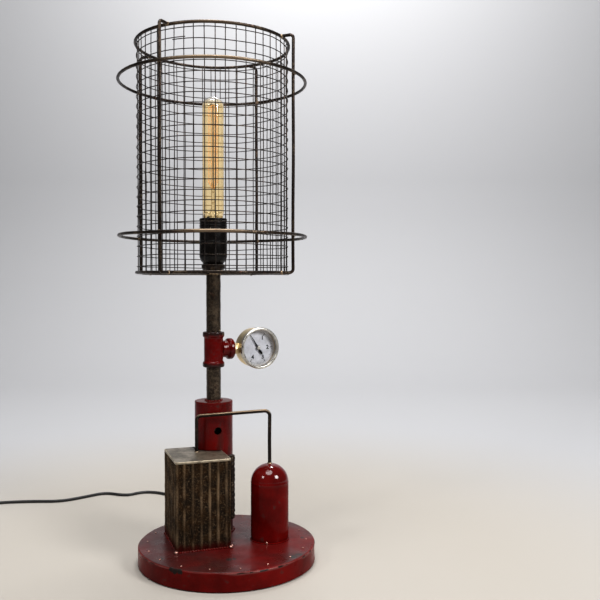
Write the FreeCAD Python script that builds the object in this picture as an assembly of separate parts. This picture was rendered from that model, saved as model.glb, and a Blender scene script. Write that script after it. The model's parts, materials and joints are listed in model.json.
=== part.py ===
import FreeCAD, Part
import math
import os

# Industrial pipe table lamp: a round steel drum carries a ribbed box, a capped sleeve pipe and a gas
# cylinder; a tube with a tee and a pressure gauge rises to a holder in a welded mesh cage.
# Millimetres, +Z up, origin at the centre of the drum's underside, front at -Y.

V = FreeCAD.Vector
UP = V(0, 0, 1)
FRONT = V(0, -1, 0)

# Base drum
BASE_RADIUS = 112.0
BASE_HEIGHT = 24.0
BASE_WALL = 4.0
BASE_TOP = 3.0
BASE_CHAMFER = 1.5
RIM_LIFT = 1.5
COVER_THICKNESS = 5.0
COVER_GAP = 0.3
POST_RADIUS = 5.0
POST_CIRCLE = 84.0
POST_COUNT = 3

# Sleeve pipe, tubes and cable hole
PIPE_X = -6.0
PIPE_Y = 49.0
SLEEVE_RADIUS = 25.0
SLEEVE_WALL = 3.0
SLEEVE_TOP = 197.0
SLEEVE_CAP = 4.0
SLEEVE_HOLE_RADIUS = 5.0
SLEEVE_HOLE_Z = 160.0
TUBE_RADIUS = 9.55
TUBE_WALL = 2.0
TUBE_BOTTOM = 42.0
TUBE_TOP = 370.0
GUIDE_THICKNESS = 5.0
CABLE_HOLE_RADIUS = 9.0
SLIP = 0.05

# Tee
TEE_Z = 264.8
TEE_HALF = 23.6
TEE_BODY_RADIUS = 12.5
TEE_BEAD_RADIUS = 14.2
TEE_BRANCH_BEAD_RADIUS = 14.0
TEE_BEAD_LENGTH = 6.5
TEE_REACH = 26.7
TEE_BRANCH_RADIUS = 11.5
TEE_TURN = 10.0
THREAD_DEPTH = 13.0
TEE_CHAMBER_RADIUS = 8.2

# Pressure gauge, on the tee's branch
GAUGE_REACH = 62.0
STEM_RADIUS = 6.5
STEM_FLATS = 14.0
STEM_NECK_RADIUS = 5.0
CASE_RADIUS = 26.5
CASE_WALL = 1.2
CASE_BACK = 11.0
CASE_FRONT = 10.5
BEZEL_RADIUS = 28.2
BEZEL_LIP = 24.3
BEZEL_DEPTH = 6.0
LENS_THICKNESS = 2.0
DIAL_THICKNESS = 1.0
DIAL_FRONT = 6.6
MOVEMENT_WIDTH = 20.0
ARBOR_RADIUS = 1.0
POINTER_LENGTH = 20.0
POINTER_TAIL = 9.0
POINTER_WIDTH = 2.4
POINTER_THICKNESS = 0.6
POINTER_HUB_RADIUS = 2.6
POINTER_REST = 33.0

# Ribbed box
BOX_RIGHT = -1.0
BOX_WIDTH = 70.0
BOX_FRONT = -28.0
BOX_DEPTH = 85.0
BOX_TOP = 135.0
BOX_PLATE = 3.0
RIB_HEIGHT = 3.0
RIB_WIDTH = 4.6
RIB_CREST = 2.6
RIB_PITCH = 10.6
RIB_SHIFT = 2.2
WRAP_SKIN = 1.5
BOX_CORNER = 4.0
SLEEVE_GAP = 0.3
BAR_RADIUS = 4.6
BAR_BOTTOM = 55.0
BAR_Y = -9.0

# Gas cylinder and link rod
BOTTLE_X = 54.0
BOTTLE_Y = -9.0
BOTTLE_RADIUS = 24.3
BOTTLE_SHOULDER = 97.5
BOTTLE_TOP = 121.0
LINK_RADIUS = 2.4
LINK_FOOT_X = -34.0
LINK_FOOT_Y = 25.0
LINK_FOOT_RISE = 46.0
LINK_HEAD_RISE = 68.0
LINK_BEND = 9.0

# Cage
CAGE_RADIUS = 100.0
CAGE_BOTTOM = 366.0
CAGE_TOP = 664.0
CAGE_ROD = 2.0
HOOP_GAP = 0.1
BRACKET_REACH = 118.0
BRACKET_BEND = 8.0
HOOP_INSET = 48.0
WIRE = 0.9
MESH_PITCH = 12.9
MESH_FIRST = 5.6
CAGE_SIDES = 24
ROD_SIDES = 6

# Lamp holder
HOLDER_BOTTOM = 371.0
RING_RADIUS = 15.6
RING_HEIGHT = 7.0
SPIGOT_LENGTH = 12.0
SPIGOT_CLEARANCE = 0.2
NIPPLE_RADIUS = 5.0
NIPPLE_LENGTH = 8.0
NIPPLE_CLEARANCE = 0.12
WIRE_WAY = 3.4
HOLDER_RADIUS = 18.2
HOLDER_WALL = 2.0
HOLDER_SHOULDER = 9.0
HOLDER_SEAM = 408.0
HOLDER_TOP = 438.0
SKIRT_WALL = 3.4
SEAT_HEIGHT = 7.0
SHELL_WALL = 0.6
SEAT_STEP = 4.0

# Bulb, E27 tubular
BULB_TIP = 413.3
CAP_RADIUS = 13.2
CAP_CLEARANCE = 0.5
CAP_CONE = 3.0
CAP_HEIGHT = 25.0
GLASS_RADIUS = 14.2
GLASS_WALL = 0.8
GLASS_TOP = 598.5
GLASS_DOME = 13.0
STEM_HEIGHT = 42.0
FILAMENT_CIRCLE = 7.5
FILAMENT_TOP = 576.0
FILAMENT_WIRE = 0.5
FILAMENT_LEGS = 6
FILAMENT_GRIP = 2.0
FILAMENT_GAP = 0.15
STEM_TOP_RADIUS = 2.0
FILAMENT_SPREAD = 8.0

# Mains lead, switch and plug
LEAD_RADIUS = 2.3
LEAD_LENGTH = 1800.0
LEAD_CLEARANCE = 0.45
GLAND_Z = 13.0
GLAND_FLANGE_RADIUS = 7.4
GLAND_FLANGE = 2.0
GLAND_BODY_RADIUS = 5.0
GLAND_RELIEF = 32.0
GLAND_TIP_RADIUS = 3.0
GLAND_NUT = 3.5
GLAND_WASHER = 1.2
SWITCH_X = -10.0
SWITCH_FRONT = 204.0
SWITCH_LENGTH = 64.0
SWITCH_WIDTH = 26.0
SWITCH_HEIGHT = 17.0
SWITCH_NOSE = 9.0
SWITCH_ENTRY_Z = 4.5
ROCKER_LENGTH = 17.0
ROCKER_WIDTH = 11.0
ROCKER_TILT = 8.0
ROCKER_PIN = 1.0
COIL_X = -328.0
COIL_Y = 330.0
COIL_MIDDLE = 26.0
COIL_WIDTH = 14.0
COIL_HEIGHT = 12.5
PLUG_X = -354.0
PLUG_BACK = 262.0
PLUG_LENGTH = 33.0
PLUG_WIDTH = 35.0
PLUG_HEIGHT = 13.7
PLUG_RELIEF = 22.0
PIN_SPACING = 18.6
PIN_RADIUS = 2.0
PIN_LENGTH = 19.0

# Facets of the round pieces, kept low enough for the whole lamp to stay light
BASE_SIDES = 48
FACE_SIDES = 28
ROUND_SIDES = 24
SMALL_SIDES = 16
PIN_SIDES = 12
LEAD_SIDES = 5


def turned(profile, sides):
    """A solid turned about Z with flat facets at the true radius, from a closed list of (radius, height)."""
    step = 2 * math.pi / sides
    reach = 1 / math.cos(step / 2)

    def corner(radius, height, index):
        angle = (index - 0.5) * step
        return V(radius * reach * math.cos(angle), radius * reach * math.sin(angle), height)

    def outline(radius, height):
        points = [corner(radius, height, k) for k in range(sides)]
        return Part.makePolygon(points + points[:1])

    faces = []
    for i, (r1, z1) in enumerate(profile):
        r2, z2 = profile[(i + 1) % len(profile)]
        if z1 == z2:
            outer, inner = max(r1, r2), min(r1, r2)
            flat = Part.Face(outline(outer, z1))
            faces.append(flat.cut(Part.Face(outline(inner, z1))).Faces[0] if inner > 0 else flat)
            continue
        if r1 == 0 and r2 == 0:
            continue
        for k in range(sides):
            points = [corner(r1, z1, k), corner(r1, z1, k + 1), corner(r2, z2, k + 1), corner(r2, z2, k)]
            if r1 == 0:
                points = points[1:]
            if r2 == 0:
                points = points[:3]
            faces.append(Part.Face(Part.makePolygon(points + points[:1])))
    shell = Part.makeShell(faces)
    shell.sewShape()
    solid = Part.makeSolid(shell)
    if solid.Volume < 0:
        solid.reverse()
    return solid


def disc(radius, bottom, top, sides):
    return turned([(0, bottom), (radius, bottom), (radius, top), (0, top)], sides)


def ring(outer, inner, bottom, top, sides):
    return turned([(inner, bottom), (outer, bottom), (outer, top), (inner, top)], sides)


def rod(points, radius, sides, closed=False):
    """A straight-sided rod along a flat path of points, mitred at every corner."""
    count = len(points)
    runs = [(points[(i + 1) % count] - points[i]).normalize() for i in range(count if closed else count - 1)]
    normal = V(0, 0, 0)
    for first, second in zip(runs, runs[1:]):
        normal = normal + first.cross(second)
    if normal.Length < 1e-6:
        normal = runs[0].cross(UP if abs(runs[0].z) < 0.9 else V(1, 0, 0))
    normal.normalize()
    across = runs[0].cross(normal)
    angles = [2 * math.pi * k / sides for k in range(sides)]
    section = [points[0] + across * (radius * math.cos(a)) + normal * (radius * math.sin(a)) for a in angles]
    mitres = []
    for i in range(count):
        before = runs[i - 1] if (closed or i > 0) else runs[0]
        after = runs[i] if i < len(runs) else runs[-1]
        plane = (before + after).normalize()
        along = after if i == 0 else before
        source = section if i == 0 else mitres[-1]
        mitres.append([p + along * ((points[i] - p).dot(plane) / along.dot(plane)) for p in source])
    faces = []
    for i in range(len(runs)):
        start, end = mitres[i], mitres[(i + 1) % count]
        for k in range(sides):
            n = (k + 1) % sides
            faces.append(Part.Face(Part.makePolygon([start[k], start[n], end[n], end[k], start[k]])))
    if not closed:
        faces += [Part.Face(Part.makePolygon(loop + loop[:1])) for loop in (mitres[0], mitres[-1])]
    shell = Part.makeShell(faces)
    shell.sewShape()
    solid = Part.makeSolid(shell)
    if solid.Volume < 0:
        solid.reverse()
    return solid


def hoop_points(radius, height):
    """Corners of a cage hoop whose sides' middles lie at the radius."""
    step = 2 * math.pi / CAGE_SIDES
    reach = radius / math.cos(step / 2)
    angles = [(k + 0.5) * step for k in range(CAGE_SIDES)]
    return [V(PIPE_X + reach * math.cos(a), PIPE_Y + reach * math.sin(a), height) for a in angles]


def bent(points, radius):
    """The path with each corner rounded by three short chords."""
    path = [points[0]]
    for before, corner, after in zip(points, points[1:], points[2:]):
        a = (before - corner).normalize()
        b = (after - corner).normalize()
        half = math.acos(max(-1.0, min(1.0, a.dot(b)))) / 2
        reach = radius / math.tan(half)
        middle = corner + (a + b).normalize() * (radius / math.sin(half))
        start, end = corner + a * reach, corner + b * reach
        path.append(start)
        for part in (1 / 3, 2 / 3):
            guess = (start - middle) * (1 - part) + (end - middle) * part
            path.append(middle + guess.normalize() * radius)
        path.append(end)
    return path + [points[-1]]


def at_pipe(shape):
    return shape.translated(V(PIPE_X, PIPE_Y, 0))


def on_tee(shape):
    """From the tee's own frame (branch along +X, dial facing -Y) to its place on the lamp."""
    placed = shape.copy()
    placed.rotate(V(0, 0, 0), UP, TEE_TURN)
    placed.translate(V(PIPE_X, PIPE_Y, TEE_Z))
    return placed


def facing(shape):
    """A gauge piece built along Z, turned to face -Y at the gauge's centre."""
    placed = shape.copy()
    placed.rotate(V(0, 0, 0), V(1, 0, 0), 90)
    placed.translate(V(GAUGE_REACH, 0, 0))
    return on_tee(placed)


def lying(shape, point, turn):
    """A piece built along Z, laid along +Y (turn 0) and turned about Z at a point."""
    placed = shape.copy()
    placed.rotate(V(0, 0, 0), V(1, 0, 0), -90)
    placed.rotate(V(0, 0, 0), UP, turn)
    placed.translate(point)
    return placed


# Base

def base_drum():
    ceiling = BASE_HEIGHT - BASE_TOP
    inner = BASE_RADIUS - BASE_WALL
    profile = [
        (0, ceiling),
        (inner, ceiling),
        (inner, RIM_LIFT),
        (BASE_RADIUS, RIM_LIFT),
        (BASE_RADIUS, BASE_HEIGHT - BASE_CHAMFER),
        (BASE_RADIUS - BASE_CHAMFER, BASE_HEIGHT),
        (0, BASE_HEIGHT),
    ]
    drum = turned(profile, BASE_SIDES)
    cable = at_pipe(disc(CABLE_HOLE_RADIUS, ceiling - BASE_TOP, BASE_HEIGHT + BASE_TOP, SMALL_SIDES))
    entry = disc(GLAND_BODY_RADIUS + SLIP, -3 * BASE_WALL, BASE_WALL, SMALL_SIDES)
    return drum.cut(cable).cut(lying(entry, V(PIPE_X, gland_face(), GLAND_Z), 0))


def base_cover():
    return disc(BASE_RADIUS - BASE_WALL - COVER_GAP, 0, COVER_THICKNESS, BASE_SIDES)


def base_posts():
    height = BASE_HEIGHT - BASE_TOP - COVER_THICKNESS
    posts = []
    for k in range(POST_COUNT):
        angle = math.radians(-90 + 360 * k / POST_COUNT)
        post = disc(POST_RADIUS, 0, height, 6)
        post.translate(V(POST_CIRCLE * math.cos(angle), POST_CIRCLE * math.sin(angle), COVER_THICKNESS))
        posts.append(post)
    return Part.makeCompound(posts)


# Column

def sleeve_pipe():
    top = SLEEVE_TOP - SLEEVE_CAP
    wall = ring(SLEEVE_RADIUS, SLEEVE_RADIUS - SLEEVE_WALL, BASE_HEIGHT, top, FACE_SIDES)
    start = V(0, -SLEEVE_RADIUS / 2, SLEEVE_HOLE_Z)
    return at_pipe(wall.cut(Part.makeCylinder(SLEEVE_HOLE_RADIUS, SLEEVE_RADIUS, start, FRONT)))


def sleeve_cap():
    bottom = SLEEVE_TOP - SLEEVE_CAP
    return at_pipe(ring(SLEEVE_RADIUS, TUBE_RADIUS + SLIP, bottom, SLEEVE_TOP, FACE_SIDES))


def sleeve_guide():
    """A square plate that centres the tube's foot in the sleeve."""
    side = (SLEEVE_RADIUS - SLEEVE_WALL - SLIP) * math.sqrt(2)
    plate = Part.makeBox(side, side, GUIDE_THICKNESS, V(-side / 2, -side / 2, TUBE_BOTTOM + GUIDE_THICKNESS))
    return at_pipe(plate.cut(disc(TUBE_RADIUS + SLIP, 0, TUBE_TOP, ROUND_SIDES)))


def column_tube(bottom, top):
    return at_pipe(ring(TUBE_RADIUS, TUBE_RADIUS - TUBE_WALL, bottom, top, ROUND_SIDES))


def tee_fitting():
    bead = TEE_HALF - TEE_BEAD_LENGTH
    run = turned([
        (0, -TEE_HALF),
        (TEE_BEAD_RADIUS, -TEE_HALF),
        (TEE_BEAD_RADIUS, -bead),
        (TEE_BODY_RADIUS, -bead + 1.0),
        (TEE_BODY_RADIUS, bead - 1.0),
        (TEE_BEAD_RADIUS, bead),
        (TEE_BEAD_RADIUS, TEE_HALF),
        (0, TEE_HALF),
    ], SMALL_SIDES)
    branch = turned([
        (0, 0),
        (TEE_BRANCH_RADIUS, 0),
        (TEE_BRANCH_RADIUS, TEE_REACH - TEE_BEAD_LENGTH - 1.0),
        (TEE_BRANCH_BEAD_RADIUS, TEE_REACH - TEE_BEAD_LENGTH),
        (TEE_BRANCH_BEAD_RADIUS, TEE_REACH),
        (0, TEE_REACH),
    ], SMALL_SIDES)
    branch.rotate(V(0, 0, 0), V(0, 1, 0), 90)
    tee = run.fuse(branch).removeSplitter()
    for end in (-TEE_HALF, TEE_HALF - THREAD_DEPTH):
        tee = tee.cut(disc(TUBE_RADIUS + SLIP, end, end + THREAD_DEPTH, ROUND_SIDES))
    tee = tee.cut(disc(TEE_CHAMBER_RADIUS, -TEE_HALF, TEE_HALF, SMALL_SIDES))
    port = disc(STEM_RADIUS + SLIP, 0, TEE_REACH, SMALL_SIDES)
    port.rotate(V(0, 0, 0), V(0, 1, 0), 90)
    return on_tee(tee.cut(port))


# Gauge

def gauge_stem():
    shank = disc(STEM_RADIUS, TEE_CHAMBER_RADIUS + 3.0, TEE_REACH, SMALL_SIDES)
    flats = disc(STEM_FLATS / 2, TEE_REACH, GAUGE_REACH - CASE_RADIUS - 0.3, 6)
    neck = disc(STEM_NECK_RADIUS, TEE_REACH, GAUGE_REACH - MOVEMENT_WIDTH / 2, PIN_SIDES)
    stem = shank.fuse(flats).fuse(neck).removeSplitter()
    stem.rotate(V(0, 0, 0), V(0, 1, 0), 90)
    return on_tee(stem)


def gauge_case():
    floor = -CASE_BACK + CASE_WALL
    cup = turned([
        (0, -CASE_BACK),
        (CASE_RADIUS - 2.0, -CASE_BACK),
        (CASE_RADIUS, -CASE_BACK + 2.0),
        (CASE_RADIUS, CASE_FRONT),
        (CASE_RADIUS - CASE_WALL, CASE_FRONT),
        (CASE_RADIUS - CASE_WALL, floor),
        (0, floor),
    ], FACE_SIDES)
    entry = disc(STEM_NECK_RADIUS + SLIP, -CASE_RADIUS - 5.0, -CASE_RADIUS + 5.0, PIN_SIDES)
    entry.rotate(V(0, 0, 0), V(0, 1, 0), 90)
    return facing(cup.cut(entry))


def gauge_bezel():
    return facing(ring(BEZEL_RADIUS, BEZEL_LIP, CASE_FRONT, CASE_FRONT + BEZEL_DEPTH, FACE_SIDES))


def gauge_lens():
    bottom = CASE_FRONT + 1.5
    return facing(disc(BEZEL_LIP - SLIP, bottom, bottom + LENS_THICKNESS, FACE_SIDES))


def gauge_dial():
    edge = CASE_RADIUS - CASE_WALL - SLIP
    return facing(ring(edge, ARBOR_RADIUS + 0.4, DIAL_FRONT - DIAL_THICKNESS, DIAL_FRONT, FACE_SIDES))


def gauge_movement():
    """The block that carries the dial and, on its arbor, the pointer."""
    bottom = -CASE_BACK + CASE_WALL
    top = DIAL_FRONT - DIAL_THICKNESS
    half = MOVEMENT_WIDTH / 2
    block = Part.makeBox(MOVEMENT_WIDTH, MOVEMENT_WIDTH, top - bottom, V(-half, -half, bottom))
    arbor = Part.makeCylinder(ARBOR_RADIUS, pointer_bottom() + 1.6 - top, V(0, 0, top))
    return facing(block.fuse(arbor))


def pointer_bottom():
    return DIAL_FRONT + 0.7


def gauge_pointer():
    """A slim tapered hand with a round tail, resting at the scale's zero."""
    bottom = pointer_bottom() + 0.7
    half = POINTER_WIDTH / 2
    blade_points = [
        V(-half, -POINTER_TAIL, bottom),
        V(half, -POINTER_TAIL, bottom),
        V(half, 0, bottom),
        V(0.3, POINTER_LENGTH, bottom),
        V(-0.3, POINTER_LENGTH, bottom),
        V(-half, 0, bottom),
    ]
    blade = Part.Face(Part.makePolygon(blade_points + blade_points[:1])).extrude(V(0, 0, POINTER_THICKNESS))
    hub = disc(POINTER_HUB_RADIUS, pointer_bottom(), pointer_bottom() + 2.0, PIN_SIDES)
    hand = blade.fuse(hub).cut(disc(ARBOR_RADIUS + SLIP, 0, CASE_FRONT + BEZEL_DEPTH, PIN_SIDES))
    hand.rotate(V(0, 0, 0), UP, POINTER_REST)
    return facing(hand)


# Ribbed box

def box_outline(inset):
    """The box's rounded rectangle, drawn in from its outer faces."""
    left = BOX_RIGHT - BOX_WIDTH + inset
    right = BOX_RIGHT - inset
    front = BOX_FRONT + inset
    back = BOX_FRONT + BOX_DEPTH - inset
    cut = BOX_CORNER * 0.6
    corners = [
        V(left + cut, front, 0), V(right - cut, front, 0), V(right, front + cut, 0), V(right, back - cut, 0),
        V(right - cut, back, 0), V(left + cut, back, 0), V(left, back - cut, 0), V(left, front + cut, 0),
    ]
    return Part.Face(Part.makePolygon(corners + corners[:1]))


def clear_of_sleeve(shape):
    return shape.cut(at_pipe(disc(SLEEVE_RADIUS + SLEEVE_GAP, 0, BOX_TOP + 10, ROUND_SIDES)))


def box_core():
    inset = RIB_HEIGHT + WRAP_SKIN
    height = BOX_TOP - BOX_PLATE - BASE_HEIGHT
    core = box_outline(inset).extrude(V(0, 0, height)).translated(V(0, 0, BASE_HEIGHT))
    return clear_of_sleeve(core)


def rib_row(length):
    """Rib middles along a wall, evenly spaced about its centre."""
    count = int((length - RIB_WIDTH - 2 * BOX_CORNER) / RIB_PITCH)
    return [RIB_PITCH * (k - count / 2) for k in range(count + 1)]


def ribbed_wrap():
    """The corrugated sheet: a plain skin with a tapered rib at each fold, without the sleeve's offcuts."""
    height = BOX_TOP - BOX_PLATE - BASE_HEIGHT
    skin = box_outline(RIB_HEIGHT)
    middle_x = BOX_RIGHT - BOX_WIDTH / 2
    middle_y = BOX_FRONT + BOX_DEPTH / 2
    flats = []
    for wall, length, reach, shift in ((0, BOX_WIDTH, BOX_DEPTH, RIB_SHIFT), (90, BOX_DEPTH, BOX_WIDTH, 0)):
        for side in (0, 180):
            for offset in rib_row(length):
                crest = -reach / 2
                root = crest + RIB_HEIGHT + 0.5
                points = [
                    V(offset + shift - RIB_WIDTH / 2, root, 0),
                    V(offset + shift - RIB_CREST / 2, crest, 0),
                    V(offset + shift + RIB_CREST / 2, crest, 0),
                    V(offset + shift + RIB_WIDTH / 2, root, 0),
                ]
                rib = Part.Face(Part.makePolygon(points + points[:1]))
                rib.rotate(V(0, 0, 0), UP, wall + side)
                rib.translate(V(middle_x, middle_y, 0))
                flats.append(rib)
    outline = skin.fuse(flats).removeSplitter()
    wrap = outline.Faces[0].extrude(V(0, 0, height))
    core = box_outline(RIB_HEIGHT + WRAP_SKIN).extrude(V(0, 0, height))
    sheet = clear_of_sleeve(wrap.cut(core).translated(V(0, 0, BASE_HEIGHT)))
    return max(sheet.Solids, key=lambda solid: solid.Volume)


def box_top_plate():
    plate = box_outline(0).extrude(V(0, 0, BOX_PLATE)).translated(V(0, 0, BOX_TOP - BOX_PLATE))
    return clear_of_sleeve(plate)


def side_bar():
    """The rough ribbed bar that stands against the box's right wall."""
    bar = disc(BAR_RADIUS, BAR_BOTTOM, BOX_TOP, 8)
    return bar.translated(V(BOX_RIGHT + BAR_RADIUS, BAR_Y, 0))


# Gas cylinder and link rod

def gas_bottle():
    rise = BOTTLE_TOP - BOTTLE_SHOULDER
    profile = [(0, BASE_HEIGHT), (BOTTLE_RADIUS, BASE_HEIGHT), (BOTTLE_RADIUS, BOTTLE_SHOULDER)]
    for angle in (20, 40, 58, 74):
        a = math.radians(angle)
        profile.append((BOTTLE_RADIUS * math.cos(a), BOTTLE_SHOULDER + rise * math.sin(a)))
    profile.append((0, BOTTLE_TOP))
    return turned(profile, ROUND_SIDES).translated(V(BOTTLE_X, BOTTLE_Y, 0))


def link_rod():
    """The thin rod that arches from the box's top over to the bottle's dome."""
    foot = V(LINK_FOOT_X, LINK_FOOT_Y, BOX_TOP)
    head = V(BOTTLE_X, BOTTLE_Y, BOTTLE_TOP)
    points = [foot, foot + UP * LINK_FOOT_RISE, head + UP * LINK_HEAD_RISE, head]
    return rod(bent(points, LINK_BEND), LINK_RADIUS, 8)


# Cage

def cage_hoop(radius, height):
    return rod(hoop_points(radius, height), CAGE_ROD, ROD_SIDES, closed=True)


def cage_bracket(angle):
    """A rod bent out from the top ring, down and back in to the bottom ring."""
    a = math.radians(angle)
    out = V(math.cos(a), math.sin(a), 0)
    pipe = V(PIPE_X, PIPE_Y, 0)
    near = CAGE_RADIUS + CAGE_ROD + SLIP
    points = [
        pipe + out * near + UP * CAGE_TOP,
        pipe + out * BRACKET_REACH + UP * CAGE_TOP,
        pipe + out * BRACKET_REACH + UP * CAGE_BOTTOM,
        pipe + out * near + UP * CAGE_BOTTOM,
    ]
    return rod(bent(points, BRACKET_BEND), CAGE_ROD, ROD_SIDES)


def cage_cross():
    """Four arms that carry the bottom ring on the tube."""
    arms = []
    for k in range(4):
        a = math.radians(45 + 90 * k)
        out = V(math.cos(a), math.sin(a), 0)
        inner = V(PIPE_X, PIPE_Y, CAGE_BOTTOM) + out * (TUBE_RADIUS + SLIP)
        outer = V(PIPE_X, PIPE_Y, CAGE_BOTTOM) + out * (mesh_inner() - SLIP)
        arms.append(rod([inner, outer], CAGE_ROD, ROD_SIDES))
    return Part.makeCompound(arms)


def mesh_inner():
    return CAGE_RADIUS - CAGE_ROD - SLIP - WIRE


def mesh_uprights():
    """The mesh's upright wires, two against each flat of the hoops."""
    side = 2 * mesh_inner() * math.tan(math.pi / CAGE_SIDES)
    height = CAGE_TOP - CAGE_BOTTOM
    wires = []
    for k in range(CAGE_SIDES):
        for part in (-0.25, 0.25):
            wire = Part.makeBox(WIRE, WIRE, height, V(mesh_inner(), part * side - WIRE / 2, CAGE_BOTTOM))
            wire.rotate(V(0, 0, 0), UP, 360 * k / CAGE_SIDES)
            wires.append(at_pipe(wire))
    return Part.makeCompound(wires)


def mesh_rows():
    """The mesh's level wires, against the uprights' outside, at an even pitch from the top."""
    top = CAGE_TOP - MESH_FIRST
    count = int((top - CAGE_BOTTOM - 2 * CAGE_ROD) / MESH_PITCH) + 1
    reach = WIRE * 2 / 3
    middle = mesh_inner() + WIRE + reach / 2
    rows = []
    for k in range(count):
        points = hoop_points(middle, top - k * MESH_PITCH)
        rows.append(rod(points, reach, 3, closed=True))
    return Part.makeCompound(rows)


# Lamp holder

def holder_ring():
    """A turned ring with a spigot down into the tube and a nipple up into the holder."""
    bottom = HOLDER_BOTTOM
    top = bottom + RING_HEIGHT
    spigot = TUBE_RADIUS - TUBE_WALL - SPIGOT_CLEARANCE
    return at_pipe(turned([
        (WIRE_WAY, bottom - SPIGOT_LENGTH),
        (spigot, bottom - SPIGOT_LENGTH),
        (spigot, TUBE_TOP + SLIP),
        (RING_RADIUS - 2.0, TUBE_TOP + SLIP),
        (RING_RADIUS, bottom + 1.5),
        (RING_RADIUS, top - 1.5),
        (RING_RADIUS - 2.0, top),
        (NIPPLE_RADIUS, top),
        (NIPPLE_RADIUS, top + NIPPLE_LENGTH),
        (WIRE_WAY, top + NIPPLE_LENGTH),
    ], SMALL_SIDES))


def holder_cap():
    bottom = HOLDER_BOTTOM + RING_HEIGHT
    seat = HOLDER_SEAM - SEAT_HEIGHT
    inner = HOLDER_RADIUS - HOLDER_WALL
    return at_pipe(turned([
        (NIPPLE_RADIUS + NIPPLE_CLEARANCE, bottom),
        (RING_RADIUS - 3.0, bottom),
        (HOLDER_RADIUS - 1.6, bottom + HOLDER_SHOULDER / 2),
        (HOLDER_RADIUS, bottom + HOLDER_SHOULDER),
        (HOLDER_RADIUS, HOLDER_SEAM),
        (inner, HOLDER_SEAM),
        (inner, seat),
        (inner - 2.2, seat),
        (inner - 2.2, bottom + HOLDER_SHOULDER),
        (NIPPLE_RADIUS + NIPPLE_CLEARANCE, bottom + 3.0),
    ], ROUND_SIDES))


def holder_skirt():
    return at_pipe(ring(HOLDER_RADIUS, HOLDER_RADIUS - SKIRT_WALL, HOLDER_SEAM, HOLDER_TOP, ROUND_SIDES))


def insulator_top():
    return HOLDER_SEAM + SEAT_STEP


def holder_insulator():
    """The porcelain seat inside, with the sprung centre contact on it."""
    seat = HOLDER_SEAM - SEAT_HEIGHT
    outer = HOLDER_RADIUS - HOLDER_WALL - SLIP
    inner = HOLDER_RADIUS - SKIRT_WALL - SLIP
    return at_pipe(turned([
        (0, seat),
        (outer, seat),
        (outer, HOLDER_SEAM - SLIP),
        (inner, HOLDER_SEAM - SLIP),
        (inner, insulator_top()),
        (0, insulator_top()),
    ], ROUND_SIDES))


def holder_contact():
    return at_pipe(disc(3.0, insulator_top(), BULB_TIP - 0.3, SMALL_SIDES // 2))


def screw_shell():
    inner = CAP_RADIUS + CAP_CLEARANCE
    return at_pipe(ring(inner + SHELL_WALL, inner, insulator_top(), HOLDER_TOP - 2.0, ROUND_SIDES))


# Bulb

def bulb_tip():
    return at_pipe(disc(4.5, BULB_TIP, BULB_TIP + 1.2, SMALL_SIDES))


def bulb_cap():
    bottom = BULB_TIP + 1.5
    shoulder = bottom + CAP_CONE
    return at_pipe(turned([
        (0, bottom),
        (6.0, bottom),
        (CAP_RADIUS - 0.8, shoulder),
        (CAP_RADIUS, shoulder + 1.5),
        (CAP_RADIUS, BULB_TIP + CAP_HEIGHT),
        (0, BULB_TIP + CAP_HEIGHT),
    ], ROUND_SIDES))


def bulb_glass():
    bottom = BULB_TIP + CAP_HEIGHT
    neck = CAP_RADIUS - 0.4
    straight = GLASS_TOP - GLASS_DOME
    inner = GLASS_RADIUS - GLASS_WALL
    return at_pipe(turned([
        (neck - 2.0, bottom),
        (neck, bottom),
        (GLASS_RADIUS, bottom + 8.0),
        (GLASS_RADIUS, straight),
        (GLASS_RADIUS * 0.82, straight + GLASS_DOME * 0.62),
        (GLASS_RADIUS * 0.4, GLASS_TOP - 0.8),
        (0, GLASS_TOP),
        (0, GLASS_TOP - GLASS_WALL),
        (inner * 0.4, GLASS_TOP - 0.8 - GLASS_WALL),
        (inner * 0.82, straight + GLASS_DOME * 0.56),
        (inner, straight),
        (inner, bottom + 8.0),
    ], SMALL_SIDES))


def bulb_stem():
    bottom = BULB_TIP + CAP_HEIGHT
    return at_pipe(turned([
        (0, bottom),
        (7.0, bottom),
        (3.0, bottom + 12.0),
        (STEM_TOP_RADIUS, bottom + STEM_HEIGHT),
        (0, bottom + STEM_HEIGHT),
    ], SMALL_SIDES))


def bulb_filament():
    """Long wires that spread from the stem's hub and stand in a circle."""
    hub = BULB_TIP + CAP_HEIGHT + STEM_HEIGHT - FILAMENT_GRIP
    wires = []
    for k in range(FILAMENT_LEGS):
        angle = 2 * math.pi * k / FILAMENT_LEGS
        out = V(math.cos(angle), math.sin(angle), 0)
        points = [
            out * (STEM_TOP_RADIUS + FILAMENT_WIRE + FILAMENT_GAP) + UP * hub,
            out * FILAMENT_CIRCLE + UP * (hub + FILAMENT_SPREAD),
            out * FILAMENT_CIRCLE + UP * FILAMENT_TOP,
        ]
        wires.append(at_pipe(rod(points, FILAMENT_WIRE, 4)))
    return Part.makeCompound(wires)


# Mains lead

def gland_face():
    return BASE_RADIUS + 0.1


def cable_gland():
    """The strain relief: a nut inside the rim, a flange outside and a tapered sleeve."""
    nut = -BASE_WALL - GLAND_WASHER
    profile = [
        (0, nut - GLAND_NUT),
        (GLAND_FLANGE_RADIUS, nut - GLAND_NUT),
        (GLAND_FLANGE_RADIUS, nut),
        (GLAND_BODY_RADIUS, nut),
        (GLAND_BODY_RADIUS, 0),
        (GLAND_FLANGE_RADIUS, 0),
        (GLAND_FLANGE_RADIUS, GLAND_FLANGE),
        (GLAND_BODY_RADIUS, GLAND_FLANGE),
        (GLAND_TIP_RADIUS, GLAND_FLANGE + GLAND_RELIEF),
        (0, GLAND_FLANGE + GLAND_RELIEF),
    ]
    return lying(turned(profile, SMALL_SIDES), V(PIPE_X, gland_face(), GLAND_Z), 0)


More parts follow.
